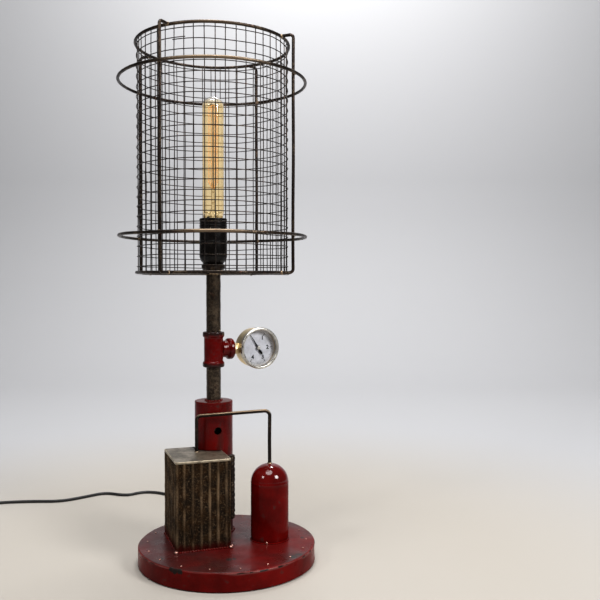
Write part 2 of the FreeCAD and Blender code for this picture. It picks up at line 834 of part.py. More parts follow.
def lead_path(name, points):
    """Straight runs joined by the largest tangent arcs that the runs allow."""
    edges = []
    radii = []
    last = points[0]
    for before, corner, after in zip(points, points[1:], points[2:]):
        a = (before - corner)
        b = (after - corner)
        cut = 0.45 * min(a.Length, b.Length)
        turn = math.pi - a.getAngle(b)
        radius = cut / math.tan(turn / 2)
        radii.append(radius)
        a.normalize()
        b.normalize()
        start = corner + a * cut
        end = corner + b * cut
        towards = (a + b).normalize()
        middle = corner + towards * (radius / math.cos(turn / 2) - radius)
        edges.append(Part.LineSegment(last, start).toShape())
        edges.append(Part.Arc(start, middle, end).toShape())
        last = end
    edges.append(Part.LineSegment(last, points[-1]).toShape())
    wire = Part.Wire(edges)
    print(name, "length %.1f" % wire.Length, "radii in diameters", [round(r / LEAD_RADIUS / 2, 1) for r in radii])
    return wire


def lead_tube(name, points):
    path = lead_path(name, points)
    along = (points[1] - points[0]).normalize()
    across = along.cross(UP if abs(along.z) < 0.9 else V(1, 0, 0)).normalize()
    over = across.cross(along)
    corners = []
    for k in range(LEAD_SIDES):
        a = 2 * math.pi * (k + 0.5) / LEAD_SIDES
        corners.append(points[0] + (across * math.cos(a) + over * math.sin(a)) * LEAD_RADIUS)
    section = Part.makePolygon(corners + corners[:1])
    tube = path.makePipeShell([section], True, False)
    area = Part.Face(section).Area
    print(name, "volume over section times length %.4f" % (tube.Volume / (area * path.Length)))
    return tube, path.Length


def lead_inner_points():
    return [
        V(PIPE_X, gland_face() - BASE_WALL - GLAND_WASHER - GLAND_NUT, GLAND_Z),
        V(PIPE_X, PIPE_Y + 22.0, GLAND_Z),
        V(PIPE_X, PIPE_Y + 4.5, GLAND_Z + 7.0),
        V(PIPE_X, PIPE_Y, GLAND_Z + 31.0),
        V(PIPE_X, PIPE_Y + 0.4, HOLDER_SEAM - SEAT_HEIGHT),
    ]


def switch_entry():
    return V(SWITCH_X, SWITCH_FRONT, SWITCH_ENTRY_Z)


def switch_exit():
    return V(SWITCH_X, SWITCH_FRONT + SWITCH_LENGTH, SWITCH_ENTRY_Z)


def lead_near_points():
    return [
        V(PIPE_X, gland_face() + GLAND_FLANGE + GLAND_RELIEF + LEAD_CLEARANCE, GLAND_Z),
        V(PIPE_X - 0.5, 163, 10.5),
        V(PIPE_X - 2.5, 184, 3.2),
        switch_entry(),
    ]


def lead_far_points():
    """From the switch, left across the table in the photograph's waves, to the coil."""
    z = LEAD_RADIUS
    return [
        switch_exit(),
        V(-12, 291, z),
        V(-22, 317, z),
        V(-38, 337, z),
        V(-60, 348, z),
        V(-89, 333, z),
        V(-119, 364, z),
        V(-150, 350, z),
        V(-192, 334, z),
        V(-236, 350, z),
        V(-276, 358, z),
        V(COIL_X + 16, COIL_Y + COIL_MIDDLE, z),
    ]


def lead_tail_points():
    z = LEAD_RADIUS
    return [
        V(COIL_X - COIL_MIDDLE + 1, COIL_Y - 10, z),
        V(COIL_X - COIL_MIDDLE - 1, COIL_Y - 26, z + 0.4),
        V(PLUG_X, PLUG_BACK + PLUG_RELIEF + LEAD_CLEARANCE, PLUG_HEIGHT / 2),
    ]


def lead_coil():
    inner = COIL_MIDDLE - COIL_WIDTH / 2
    outer = COIL_MIDDLE + COIL_WIDTH / 2
    coil = turned([
        (inner, COIL_HEIGHT / 2),
        (inner + 3.0, 0),
        (outer - 3.0, 0),
        (outer, COIL_HEIGHT / 2),
        (outer - 3.0, COIL_HEIGHT),
        (inner + 3.0, COIL_HEIGHT),
    ], SMALL_SIDES)
    return coil.translated(V(COIL_X, COIL_Y, 0))


def switch_body():
    """A slim in-line switch with rounded noses and a pocket for its rocker."""
    half = SWITCH_WIDTH / 2
    nose = half * 0.45
    length = SWITCH_LENGTH
    points = [
        V(-nose, 0, 0), V(nose, 0, 0), V(half, SWITCH_NOSE, 0), V(half, length - SWITCH_NOSE, 0),
        V(nose, length, 0), V(-nose, length, 0), V(-half, length - SWITCH_NOSE, 0), V(-half, SWITCH_NOSE, 0),
    ]
    body = Part.Face(Part.makePolygon(points + points[:1])).extrude(V(0, 0, SWITCH_HEIGHT))
    edges = [e for e in body.Edges if all(abs(v.Z - SWITCH_HEIGHT) < 0.01 for v in e.Vertexes)]
    body = body.makeChamfer(2.5, edges)
    pocket_length = ROCKER_LENGTH + 2.0
    pocket_width = ROCKER_WIDTH + 0.6
    corner = V(-pocket_width / 2, (length - pocket_length) / 2, SWITCH_HEIGHT - 7.5)
    body = body.cut(Part.makeBox(pocket_width, pocket_length, 10.0, corner))
    reach = ROCKER_WIDTH / 2 + 2.0
    pin_way = disc(ROCKER_PIN + SLIP, -reach, reach, PIN_SIDES)
    pin_way.rotate(V(0, 0, 0), V(0, 1, 0), 90)
    body = body.cut(pin_way.translated(V(0, length / 2, SWITCH_HEIGHT - 3.0)))
    return body.translated(V(SWITCH_X, SWITCH_FRONT, 0))


def switch_rocker():
    """The rocker on its pins, resting tipped to its off side."""
    half = ROCKER_LENGTH / 2
    outline = [
        V(0, -half, 3.2), V(0, 0, 1.8), V(0, half, 3.2), V(0, half - 1.8, -1.2),
        V(0, 0, -2.8), V(0, -half + 1.8, -1.2),
    ]
    rocker = Part.Face(Part.makePolygon(outline + outline[:1])).extrude(V(ROCKER_WIDTH, 0, 0))
    rocker.translate(V(-ROCKER_WIDTH / 2, 0, 0))
    reach = ROCKER_WIDTH / 2 + 1.7
    pins = disc(ROCKER_PIN * math.cos(math.pi / PIN_SIDES), -reach, reach, PIN_SIDES)
    pins.rotate(V(0, 0, 0), V(0, 1, 0), 90)
    rocker = rocker.fuse(pins)
    rocker.rotate(V(0, 0, 0), V(1, 0, 0), -ROCKER_TILT)
    return rocker.translated(V(SWITCH_X, SWITCH_FRONT + SWITCH_LENGTH / 2, SWITCH_HEIGHT - 3.0))


def plug_body():
    """A flat two-pin plug with a waist for the fingers and a tapered relief."""
    half = PLUG_WIDTH / 2
    waist = half * 0.72
    points = [
        V(-half, 0, 0), V(half, 0, 0), V(half, 8, 0), V(waist, 20, 0), V(waist * 0.8, PLUG_LENGTH, 0),
        V(-waist * 0.8, PLUG_LENGTH, 0), V(-waist, 20, 0), V(-half, 8, 0),
    ]
    body = Part.Face(Part.makePolygon(points + points[:1])).extrude(V(0, 0, PLUG_HEIGHT))
    body = body.makeChamfer(2.0, [e for e in body.Edges if abs(e.Vertexes[0].Z - e.Vertexes[-1].Z) < 0.01])
    relief = turned([
        (0, 0),
        (PLUG_HEIGHT / 2 - 1.5, 0),
        (LEAD_RADIUS + 0.6, PLUG_RELIEF),
        (0, PLUG_RELIEF),
    ], SMALL_SIDES)
    body = body.translated(V(PLUG_X, PLUG_BACK - PLUG_LENGTH, 0))
    return body.fuse(lying(relief, V(PLUG_X, PLUG_BACK, PLUG_HEIGHT / 2), 0))


def plug_pins():
    pins = []
    for side in (-0.5, 0.5):
        start = V(PLUG_X + side * PIN_SPACING, PLUG_BACK - PLUG_LENGTH - PIN_LENGTH, PLUG_HEIGHT / 2)
        pins.append(lying(disc(PIN_RADIUS, 0, PIN_LENGTH, PIN_SIDES), start, 0))
    return Part.makeCompound(pins)


def save(name, shape):
    shape.exportStep(os.path.join("parts", name + ".step"))


def main():
    os.makedirs("parts", exist_ok=True)
    save("base_drum", base_drum())
    save("base_cover", base_cover())
    save("base_posts", base_posts())
    save("sleeve_pipe", sleeve_pipe())
    save("sleeve_cap", sleeve_cap())
    save("sleeve_guide", sleeve_guide())
    save("lower_tube", column_tube(TUBE_BOTTOM, TEE_Z - TEE_HALF + THREAD_DEPTH - 0.1))
    save("tee_fitting", tee_fitting())
    save("upper_tube", column_tube(TEE_Z + TEE_HALF - THREAD_DEPTH + 0.1, TUBE_TOP))
    save("gauge_stem", gauge_stem())
    save("gauge_case", gauge_case())
    save("gauge_bezel", gauge_bezel())
    save("gauge_lens", gauge_lens())
    save("gauge_dial", gauge_dial())
    save("gauge_movement", gauge_movement())
    save("gauge_pointer", gauge_pointer())
    save("box_core", box_core())
    save("ribbed_wrap", ribbed_wrap())
    save("box_top_plate", box_top_plate())
    save("side_bar", side_bar())
    save("gas_bottle", gas_bottle())
    save("link_rod", link_rod())
    save("cage_bottom_ring", cage_hoop(CAGE_RADIUS, CAGE_BOTTOM))
    save("cage_top_ring", cage_hoop(CAGE_RADIUS, CAGE_TOP))
    hoop = BRACKET_REACH + 2 * CAGE_ROD + HOOP_GAP
    save("cage_lower_hoop", cage_hoop(hoop, CAGE_BOTTOM + HOOP_INSET))
    save("cage_upper_hoop", cage_hoop(hoop, CAGE_TOP - HOOP_INSET))
    for name, angle in (("front_left", 225), ("front_right", 315), ("back_right", 45), ("back_left", 135)):
        save("cage_bracket_" + name, cage_bracket(angle))
    save("cage_cross", cage_cross())
    save("mesh_uprights", mesh_uprights())
    save("mesh_rows", mesh_rows())
    save("holder_ring", holder_ring())
    save("holder_cap", holder_cap())
    save("holder_skirt", holder_skirt())
    save("holder_insulator", holder_insulator())
    save("holder_contact", holder_contact())
    save("screw_shell", screw_shell())
    save("bulb_tip", bulb_tip())
    save("bulb_cap", bulb_cap())
    save("bulb_glass", bulb_glass())
    save("bulb_stem", bulb_stem())
    save("bulb_filament", bulb_filament())
    save("cable_gland", cable_gland())
    save("lead_inner", lead_tube("lead_inner", lead_inner_points())[0])
    near, near_length = lead_tube("lead_near", lead_near_points())
    far, far_length = lead_tube("lead_far", lead_far_points())
    tail, tail_length = lead_tube("lead_tail", lead_tail_points())
    save("lead_near", near)
    save("lead_far", far)
    save("lead_tail", tail)
    save("lead_coil", lead_coil())
    coiled = LEAD_LENGTH - near_length - far_length - tail_length
    print("length in the coil %.0f, turns %.2f" % (coiled, coiled / (2 * math.pi * COIL_MIDDLE)))
    save("switch_body", switch_body())
    save("switch_rocker", switch_rocker())
    save("plug_body", plug_body())
    save("plug_pins", plug_pins())


main()
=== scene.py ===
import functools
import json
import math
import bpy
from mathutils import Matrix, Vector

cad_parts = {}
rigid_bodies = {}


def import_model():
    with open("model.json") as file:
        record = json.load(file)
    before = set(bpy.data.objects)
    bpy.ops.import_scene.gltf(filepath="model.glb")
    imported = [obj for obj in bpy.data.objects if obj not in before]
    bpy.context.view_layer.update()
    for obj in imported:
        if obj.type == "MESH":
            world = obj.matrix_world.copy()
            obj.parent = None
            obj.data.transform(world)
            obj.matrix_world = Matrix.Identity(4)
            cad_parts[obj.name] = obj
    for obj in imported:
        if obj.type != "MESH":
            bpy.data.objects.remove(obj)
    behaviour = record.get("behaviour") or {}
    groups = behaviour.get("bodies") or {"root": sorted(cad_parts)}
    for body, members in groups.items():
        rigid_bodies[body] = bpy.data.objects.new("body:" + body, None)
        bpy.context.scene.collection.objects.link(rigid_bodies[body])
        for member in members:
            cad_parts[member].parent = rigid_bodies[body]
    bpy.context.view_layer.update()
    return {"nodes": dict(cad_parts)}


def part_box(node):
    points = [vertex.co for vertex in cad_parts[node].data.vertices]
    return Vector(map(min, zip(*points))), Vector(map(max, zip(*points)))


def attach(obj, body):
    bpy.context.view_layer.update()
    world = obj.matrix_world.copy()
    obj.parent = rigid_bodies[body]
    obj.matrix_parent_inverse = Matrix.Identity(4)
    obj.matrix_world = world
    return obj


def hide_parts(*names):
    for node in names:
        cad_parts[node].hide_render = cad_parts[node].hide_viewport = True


bl_info = {
    "name": "Industrial pipe table lamp",
    "version": (1, 0, 0),
    "blender": (4, 5, 0),
    "location": "3D View > Sidebar > Pipe lamp",
    "description": "Finishes the pipe lamp: red drum and fittings, ribbed box, gauge, bulb and wire cage",
    "category": "Object",
}

import bmesh
import bpy
from bpy.props import FloatProperty, FloatVectorProperty, IntProperty, PointerProperty
from mathutils import Matrix, Vector, noise

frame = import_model()

MM = 0.001
UP = Vector((0, 0, 1))
PIPE = Vector((-0.006, 0.049, 0))
TEE_HEIGHT = 0.2648
TEE_TURN = math.radians(10)
GAUGE_REACH = 0.062
DRUM_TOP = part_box("base_drum")[1].z
BOX_LOW, BOX_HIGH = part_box("box_top_plate")
PLATE = 0.003
SLEEVE_CUT = 0.0256
CAGE_FOOT, CAGE_TOP = 0.366, 0.664
LOWER_HOOP, UPPER_HOOP = 0.414, 0.616
LEAD_REST = 0.0023


def colour(name, default, description):
    """A colour that a user may change in the sidebar."""
    return FloatVectorProperty(
        name=name, description=description, default=default, size=4, min=0, max=1, subtype="COLOR"
    )


def length(name, default, description):
    """A length in metres that a user may change in the sidebar."""
    return FloatProperty(
        name=name, description=description, default=default, min=0, unit="LENGTH", precision=5
    )


class LampSizes(bpy.types.PropertyGroup):
    """Sizes of the lamp's finer forms."""

    drum_radius: length("Drum radius", 0.112, "Radius of the round drum at the foot")
    tube_radius: length("Tube radius", 0.00955, "Outer radius of the upright tube")
    sleeve_radius: length("Sleeve radius", 0.025, "Outer radius of the sleeve pipe")
    rod_radius: length("Cage rod radius", 0.002, "Radius of the cage's hoops and brackets")
    wire_radius: length("Mesh wire radius", 0.0006, "Radius of the mesh's wires")
    cage_radius: length("Cage radius", 0.100, "Radius of the two rings that hold the mesh")
    hoop_radius: length("Hoop radius", 0.1221, "Radius of the two guard hoops outside the brackets")
    mesh_radius: length("Mesh radius", 0.0975, "Radius of the mesh's upright wires")
    mesh_pitch: length("Mesh pitch", 0.0129, "Height from one level wire to the next")
    upright_count: IntProperty(
        name="Upright wires", description="How many upright wires the mesh has", default=48, min=12
    )
    stud_count: IntProperty(
        name="Drum studs", description="How many weld studs stand round the drum's rim", default=18, min=0
    )
    lead_diameter: length("Lead diameter", 0.0046, "Outer diameter of the mains lead")
    lead_length: length("Lead length", 1.8, "Length of the mains lead from drum to plug")


class LampFinishes(bpy.types.PropertyGroup):
    """Colours of the lamp's finishes."""

    oxblood: colour("Oxblood paint", (0.122, 0.0027, 0.0021, 1), "Gloss paint on drum, sleeve and bottle")
    bare_iron: colour("Bare iron", (0.035, 0.026, 0.022, 1), "Dark iron that shows where the paint is gone")
    bronze_low: colour("Dark bronze", (0.018, 0.012, 0.009, 1), "Rods and tubes in their hollows")
    bronze_high: colour("Rubbed bronze", (0.34, 0.248, 0.16, 1), "Rods and tubes where they are rubbed")
    rib_low: colour("Rib hollow", (0.014, 0.0088, 0.0052, 1), "The ribbed sheet's dark flutes")
    rib_high: colour("Rib crest", (0.20, 0.134, 0.078, 1), "The ribbed sheet's rubbed crests")
    plate: colour("Top plate", (0.165, 0.137, 0.100, 1), "The box's pale bronze plate")
    brass: colour("Gauge brass", (0.86, 0.70, 0.43, 1), "The gauge's case and stem")
    chrome: colour("Bezel chrome", (0.80, 0.77, 0.70, 1), "The gauge's bezel")
    dial: colour("Dial white", (0.74, 0.75, 0.81, 1), "The gauge's dial")
    bakelite: colour("Bakelite", (0.005, 0.0038, 0.0032, 1), "The lamp holder")
    amber: colour("Amber glass", (1.0, 0.92, 0.72, 1), "The bulb's tinted glass")
    lead: colour("Lead sheath", (0.012, 0.011, 0.011, 1), "The mains lead's sheath")
    floor: colour("Floor", (0.40, 0.37, 0.33, 1), "The pale floor")
    wall: colour("Wall", (0.42, 0.42, 0.43, 1), "The pale wall behind")


# Forms

def around(angle, radius=1.0, height=0.0):
    """The point at an angle, a radius and a height round the Z axis."""
    return Vector((radius * math.cos(angle), radius * math.sin(angle), height))


def even_angles(count):
    """Angles that part a full turn evenly."""
    return [2 * math.pi * k / count for k in range(count)]


def arc(middle, start, end, radius, steps):
    """Points of a round corner about its middle, between two directions."""
    parts = [step / steps for step in range(steps + 1)]
    return [middle + (start * (1 - part) + end * part).normalized() * radius for part in parts]


def rounded(profile, radius, steps=4):
    """A closed profile with its corners rounded; a corner's third number is its own radius."""
    path = []
    count = len(profile)
    for index, corner in enumerate(profile):
        here = Vector(corner[:2])
        size = corner[2] if len(corner) > 2 else radius
        before = Vector(profile[index - 1][:2]) - here
        after = Vector(profile[(index + 1) % count][:2]) - here
        sharp = here.x < 1e-6 or size < 1e-6 or before.length < 1e-7 or after.length < 1e-7
        half = 0 if sharp else before.angle(after) / 2
        if sharp or half > math.radians(88):
            path.append(here)
            continue
        reach = min(size / math.tan(half), 0.46 * before.length, 0.46 * after.length)
        bend = reach * math.tan(half)
        before.normalize()
        after.normalize()
        middle = here + (before + after).normalized() * (bend / math.sin(half))
        path += arc(middle, here + before * reach - middle, here + after * reach - middle, bend, steps)
    return path


def turned(profile, sides):
    """A closed mesh turned about Z from a closed profile of radius and height."""
    form = bmesh.new()
    rings = []
    for radius, height in profile:
        if radius < 1e-6:
            rings.append([form.verts.new((0, 0, height))])
        else:
            rings.append([form.verts.new(around(a, radius, height)) for a in even_angles(sides)])
    for ring, other in zip(rings, rings[1:] + rings[:1]):
        if len(ring) == 1 and len(other) == 1:
            continue
        for k in range(sides):
            n = (k + 1) % sides
            corners = [ring[0]] if len(ring) == 1 else [ring[k], ring[n]]
            corners += [other[0]] if len(other) == 1 else [other[n], other[k]]
            form.faces.new(corners)
    return form


def lathed(outline, sides, ease=0.3, steps=4):
    """A form turned from an outline in millimetres, with its corners eased."""
    return turned(rounded([tuple(x * MM for x in corner) for corner in outline], ease * MM, steps), sides)


def skinned(form, rings, closed=False):
    """Faces from ring to ring, and over both ends of an open form."""
    for ring, other in zip(rings, rings[1:] + rings[:1] if closed else rings[1:]):
        for k in range(len(ring)):
            n = (k + 1) % len(ring)
            form.faces.new([ring[k], ring[n], other[n], other[k]])
    if not closed:
        form.faces.new(rings[0][::-1])
        form.faces.new(rings[-1])
    return form


def sheathed(points, radius, sides, closed=False, swell=None):
    """A round rod along a path of points, with even rings that never twist; swell scales each ring."""
    form = bmesh.new()
    count = len(points)
    rings = []
    across = None
    for index, point in enumerate(points):
        before = points[index - 1] if (index or closed) else point
        after = points[(index + 1) % count] if (index < count - 1 or closed) else point
        along = (after - before).normalized()
        if across is None:
            across = UP - along * UP.dot(along) if closed else along.orthogonal().normalized()
        across = (across - along * across.dot(along)).normalized()
        over = along.cross(across)
        size = radius * (swell(index) if swell else 1)
        spokes = [across * math.cos(a) + over * math.sin(a) for a in even_angles(sides)]
        rings.append([form.verts.new(point + spoke * size) for spoke in spokes])
    return skinned(form, rings, closed)


def bent(points, radius, steps=6):
    """A path with each corner rounded to a radius."""
    path = [points[0]]
    for before, corner, after in zip(points, points[1:], points[2:]):
        a = (before - corner).normalized()
        b = (after - corner).normalized()
        half = a.angle(b) / 2
        reach = radius / math.tan(half)
        middle = corner + (a + b).normalized() * (radius / math.sin(half))
        path += arc(middle, corner + a * reach - middle, corner + b * reach - middle, radius, steps)
    return path + [points[-1]]


def spaced(points, step):
    """The same path with points added so that none are further apart than a step."""
    path = [points[0]]
    for start, end in zip(points, points[1:]):
        parts = max(1, math.ceil((end - start).length / step))
        path += [start.lerp(end, k / parts) for k in range(1, parts + 1)]
    return path


def wavering(points, grain, amount):
    """A path drifted sideways a little, as a hand-bent rod is."""
    return [p + Vector((noise.noise(p * grain), noise.noise(p * grain + UP), 0)) * amount for p in points]


def circle(radius, height, count, centre=PIPE, waver=0.0, seed=0.0):
    """Points round a level circle, with a slight waver from true."""
    points = []
    for a in even_angles(count):
        drift = around(a, 1.3, seed)
        out = radius + waver * noise.noise(drift)
        lift = waver * noise.noise(drift + Vector((7.1, 3.3, 0)))
        points.append(centre + around(a, out, height + lift))
    return points


def mesh_of(form, name="scrap"):
    """A mesh from a form, which is freed."""
    mesh = bpy.data.meshes.new(name)
    form.to_mesh(mesh)
    form.free()
    return mesh


def form_of(mesh, form=None):
    """A form with a scrap mesh added, which is removed."""
    if form is None:
        form = bmesh.new()
    form.from_mesh(mesh)
    bpy.data.meshes.remove(mesh)
    return form


def linked(name, data):
    """A new object in the scene."""
    thing = bpy.data.objects.new(name, data)
    bpy.context.scene.collection.objects.link(thing)
    return thing


def baked(thing):
    """The form of an object after its modifiers; the object is removed."""
    final = thing.evaluated_get(bpy.context.evaluated_depsgraph_get())
    form = form_of(bpy.data.meshes.new_from_object(final))
    bpy.data.batch_remove([thing, thing.data])
    return form


def joined(forms):
    """Several forms in one."""
    whole = bmesh.new()
    for form in forms:
        form_of(mesh_of(form), whole)
    return whole


def moved(form, matrix):
    bmesh.ops.transform(form, matrix=matrix, verts=form.verts)
    return form


def raised(form, faces, height):
    """Flat faces drawn up into a slab."""
    lifted = bmesh.ops.extrude_face_region(form, geom=faces)["geom"]
    corners = [item for item in lifted if isinstance(item, bmesh.types.BMVert)]
    bmesh.ops.translate(form, vec=(0, 0, height), verts=corners)
    return form


def bead(centre, radius, squash=0.6, seed=0.0):
    """A rough drop of weld metal."""
    form = bmesh.new()
    bmesh.ops.create_icosphere(form, subdivisions=2, radius=radius)
    for vert in form.verts:
        vert.co *= 1 + 0.25 * noise.noise(vert.co * (1.2 / radius) + Vector((seed, seed * 1.7, 0)))
        vert.co.z *= squash
        vert.co += centre
    return form


def weld_run(points, radius, seed=0.0, flat=0.7):
    """A run of weld drops that lap each other along a path of points."""
    drops = []
    for k, point in enumerate(points):
        size = radius * (1 + 0.3 * noise.noise(Vector((k * 0.9, seed, 0))))
        drops.append(bead(point, size, flat, seed + k))
    return joined(drops)


def roughened(form, depth, grain, seed=0.0):
    """Small bumps pushed along the form's own normals."""
    form.normal_update()
    shifts = [
        vert.normal * (depth * noise.fractal((vert.co + Vector((seed, 0, 0))) * grain, 1.0, 2.0, 3))
        for vert in form.verts
    ]
    for vert, shift in zip(form.verts, shifts):
        vert.co += shift
    return form


def rub_marks(form):
    """Marks each corner that stands out, for the finishes to wear away there and to paint highlights along
    it.
    """
    layer = form.verts.layers.float.new("rub")
    form.normal_update()
    values = {}
    for vert in form.verts:
        angles = [edge.calc_face_angle_signed(0) for edge in vert.link_edges if len(edge.link_faces) == 2]
        values[vert] = max(0.0, max(angles, default=0.0)) / 0.9
    for vert in form.verts:
        near = [values[edge.other_vert(vert)] for edge in vert.link_edges]
        vert[layer] = min(1.0, 0.6 * values[vert] + 0.4 * max(near, default=0.0))
    return form


def piece_of(name, form, finish, *nodes, body="lamp", sharp=38, rub=False):
    """A finished piece that rides on a body of the frame and stands for its plain CAD solids."""
    bmesh.ops.recalc_face_normals(form, faces=form.faces)
    if rub:
        rub_marks(form)
    mesh = mesh_of(form, name)
    mesh.polygons.foreach_set("use_smooth", [True] * len(mesh.polygons))
    mesh.set_sharp_from_angle(angle=math.radians(sharp))
    slot, material = finish_of(finish)
    mesh.materials.append(material)
    piece = linked(name, mesh)
    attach(piece, body)
    if nodes:
        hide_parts(*nodes)
    return piece


def cad_form(node, bevel, segments=2):
    """A copy of a CAD node's solid with its sharp edges eased."""
    form = bmesh.new()
    form.from_mesh(frame["nodes"][node].data)
    bmesh.ops.remove_doubles(form, verts=form.verts, dist=1e-6)
    bmesh.ops.dissolve_limit(form, angle_limit=math.radians(1), verts=form.verts, edges=form.edges)
    crease = math.radians(25)
    edges = [edge for edge in form.edges if len(edge.link_faces) == 2 and edge.calc_face_angle(0) > crease]
    bmesh.ops.bevel(
        form, geom=edges, offset=bevel, segments=segments, profile=0.5, affect="EDGES", clamp_overlap=True
    )
    return form


def at_pipe(form):
    return moved(form, Matrix.Translation(PIPE))


def on_tee(form):
    place = Matrix.Translation(PIPE + UP * TEE_HEIGHT) @ Matrix.Rotation(TEE_TURN, 4, "Z")
    return moved(form, place)


def facing(form):
    """A gauge piece made along Z, turned to look out of the dial."""
    turn = Matrix.Translation((GAUGE_REACH, 0, 0)) @ Matrix.Rotation(math.pi / 2, 4, "X")
    return on_tee(moved(form, turn))


# Finishes

class Finish:
    """A procedural material, built up from noises, ramps and mixes in the part's own space."""

    def __init__(self, name, **sockets):
        self.material = bpy.data.materials.new(name)
        self.material.use_nodes = True
        self.tree = self.material.node_tree
        self.shader = self.tree.nodes["Principled BSDF"]
        self.fill(self.shader, sockets)
        self.place = self.node("TexCoord").outputs["Object"]

    def feed(self, socket, value):
        """A link into a socket, or a plain number or colour."""
        if isinstance(value, bpy.types.NodeSocket):
            self.tree.links.new(value, socket)
        else:
            socket.default_value = value if isinstance(value, (int, float)) else tuple(value)

    def fill(self, node, sockets):
        """Feeds a node's sockets, named with underscores for spaces."""
        for socket, value in sockets.items():
            self.feed(node.inputs[socket.replace("_", " ")], value)

    def node(self, kind, **sockets):
        """A new shader node with its named sockets fed."""
        node = self.tree.nodes.new("ShaderNode" + kind)
        self.fill(node, sockets)
        return node

    def into(self, **sockets):
        """Feeds the sockets of the surface itself."""
        self.fill(self.shader, sockets)

    def stretch(self, x, y, z):
        """The part's own space, squeezed along its axes."""
        return self.node("Mapping", Scale=(x, y, z), Vector=self.place).outputs["Vector"]

    def noise(self, scale, detail=4, rough=0.55, place=None):
        node = self.node("TexNoise", Scale=scale, Detail=detail, Roughness=rough, Vector=place or self.place)
        return node.outputs["Fac"]

    def ramp(self, source, low, high, start=0.0, end=1.0):
        """A smooth step of a value between two limits, from start to end."""
        step = self.node("MapRange", Value=source, From_Min=low, From_Max=high, To_Min=start, To_Max=end)
        step.interpolation_type = "SMOOTHSTEP"
        return step.outputs["Result"]

    def worked(self, kind, first, second):
        """One sum with two values."""
        node = self.node("Math")
        node.operation = kind
        node.use_clamp = kind == "MAXIMUM"
        self.feed(node.inputs[0], first)
        self.feed(node.inputs[1], second)
        return node.outputs["Value"]

    def times(self, first, second):
        return self.worked("MULTIPLY", first, second)

    def plus(self, first, second):
        return self.worked("ADD", first, second)

    def less(self, first, second):
        return self.worked("SUBTRACT", first, second)

    def most(self, first, second):
        return self.worked("MAXIMUM", first, second)

    def mix(self, amount, first, second):
        """One colour over another by an amount."""
        node = self.node("Mix")
        node.data_type = "RGBA"
        for socket, value in zip((node.inputs[0], node.inputs[6], node.inputs[7]), (amount, first, second)):
            self.feed(socket, value)
        return node.outputs[2]

    def clouded(self, source, low, high, tint, dark, light):
        """A colour that drifts between a darker and a lighter shade."""
        return self.mix(self.ramp(source, low, high), shade(tint, dark), shade(tint, light))

    def rough_from(self, source, start, end):
        """Roughness that follows a noise between two values."""
        self.into(Roughness=self.ramp(source, 0.3, 0.7, start, end))

    def attribute(self, name):
        node = self.node("Attribute")
        node.attribute_name = name
        return node.outputs["Fac"]

    def rub(self):
        return self.attribute("rub")

    def along(self, axis, shift=0.0):
        """The part's own X, Y or Z, less a shift."""
        return self.less(self.node("SeparateXYZ", Vector=self.place).outputs[axis], shift)

    def upward(self):
        """How far the surface faces up."""
        facing_way = self.node("NewGeometry").outputs["Normal"]
        return self.node("SeparateXYZ", Vector=facing_way).outputs["Z"]

    def wander(self, amount):
        """A small uneven shift, for ragged borders."""
        return self.times(self.less(self.noise(160, 3), 0.5), amount)

    def distance(self, x, y, z):
        """How far each point of the part lies from one point."""
        node = self.node("VectorMath")
        node.operation = "DISTANCE"
        self.feed(node.inputs[0], self.place)
        self.feed(node.inputs[1], (x, y, z))
        return node.outputs["Value"]

    def about(self, x, y, z, radius):
        """A soft round patch about a point of the part."""
        return self.ramp(self.distance(x, y, z), radius * 1.6, radius * 0.4)

    def spot(self, x, y, z, radius, ragged=0.5):
        """A ragged round mark about a point of the part."""
        reach = self.plus(self.distance(x, y, z), self.wander(radius * ragged * 4))
        return self.ramp(reach, radius * 1.05, radius * 0.8)

    def bump(self, height, strength, depth):
        node = self.node("Bump", Strength=strength, Distance=depth, Height=height)
        self.into(Normal=node.outputs["Normal"])


def colours():
    return bpy.context.scene.lamp_finishes


def shade(tint, amount):
    """A colour made lighter or darker, where a name stands for a colour of the sidebar."""
    if isinstance(tint, str):
        tint = getattr(colours(), tint)
    return tuple(min(1.0, c * amount) for c in tint[:3]) + (1.0,)


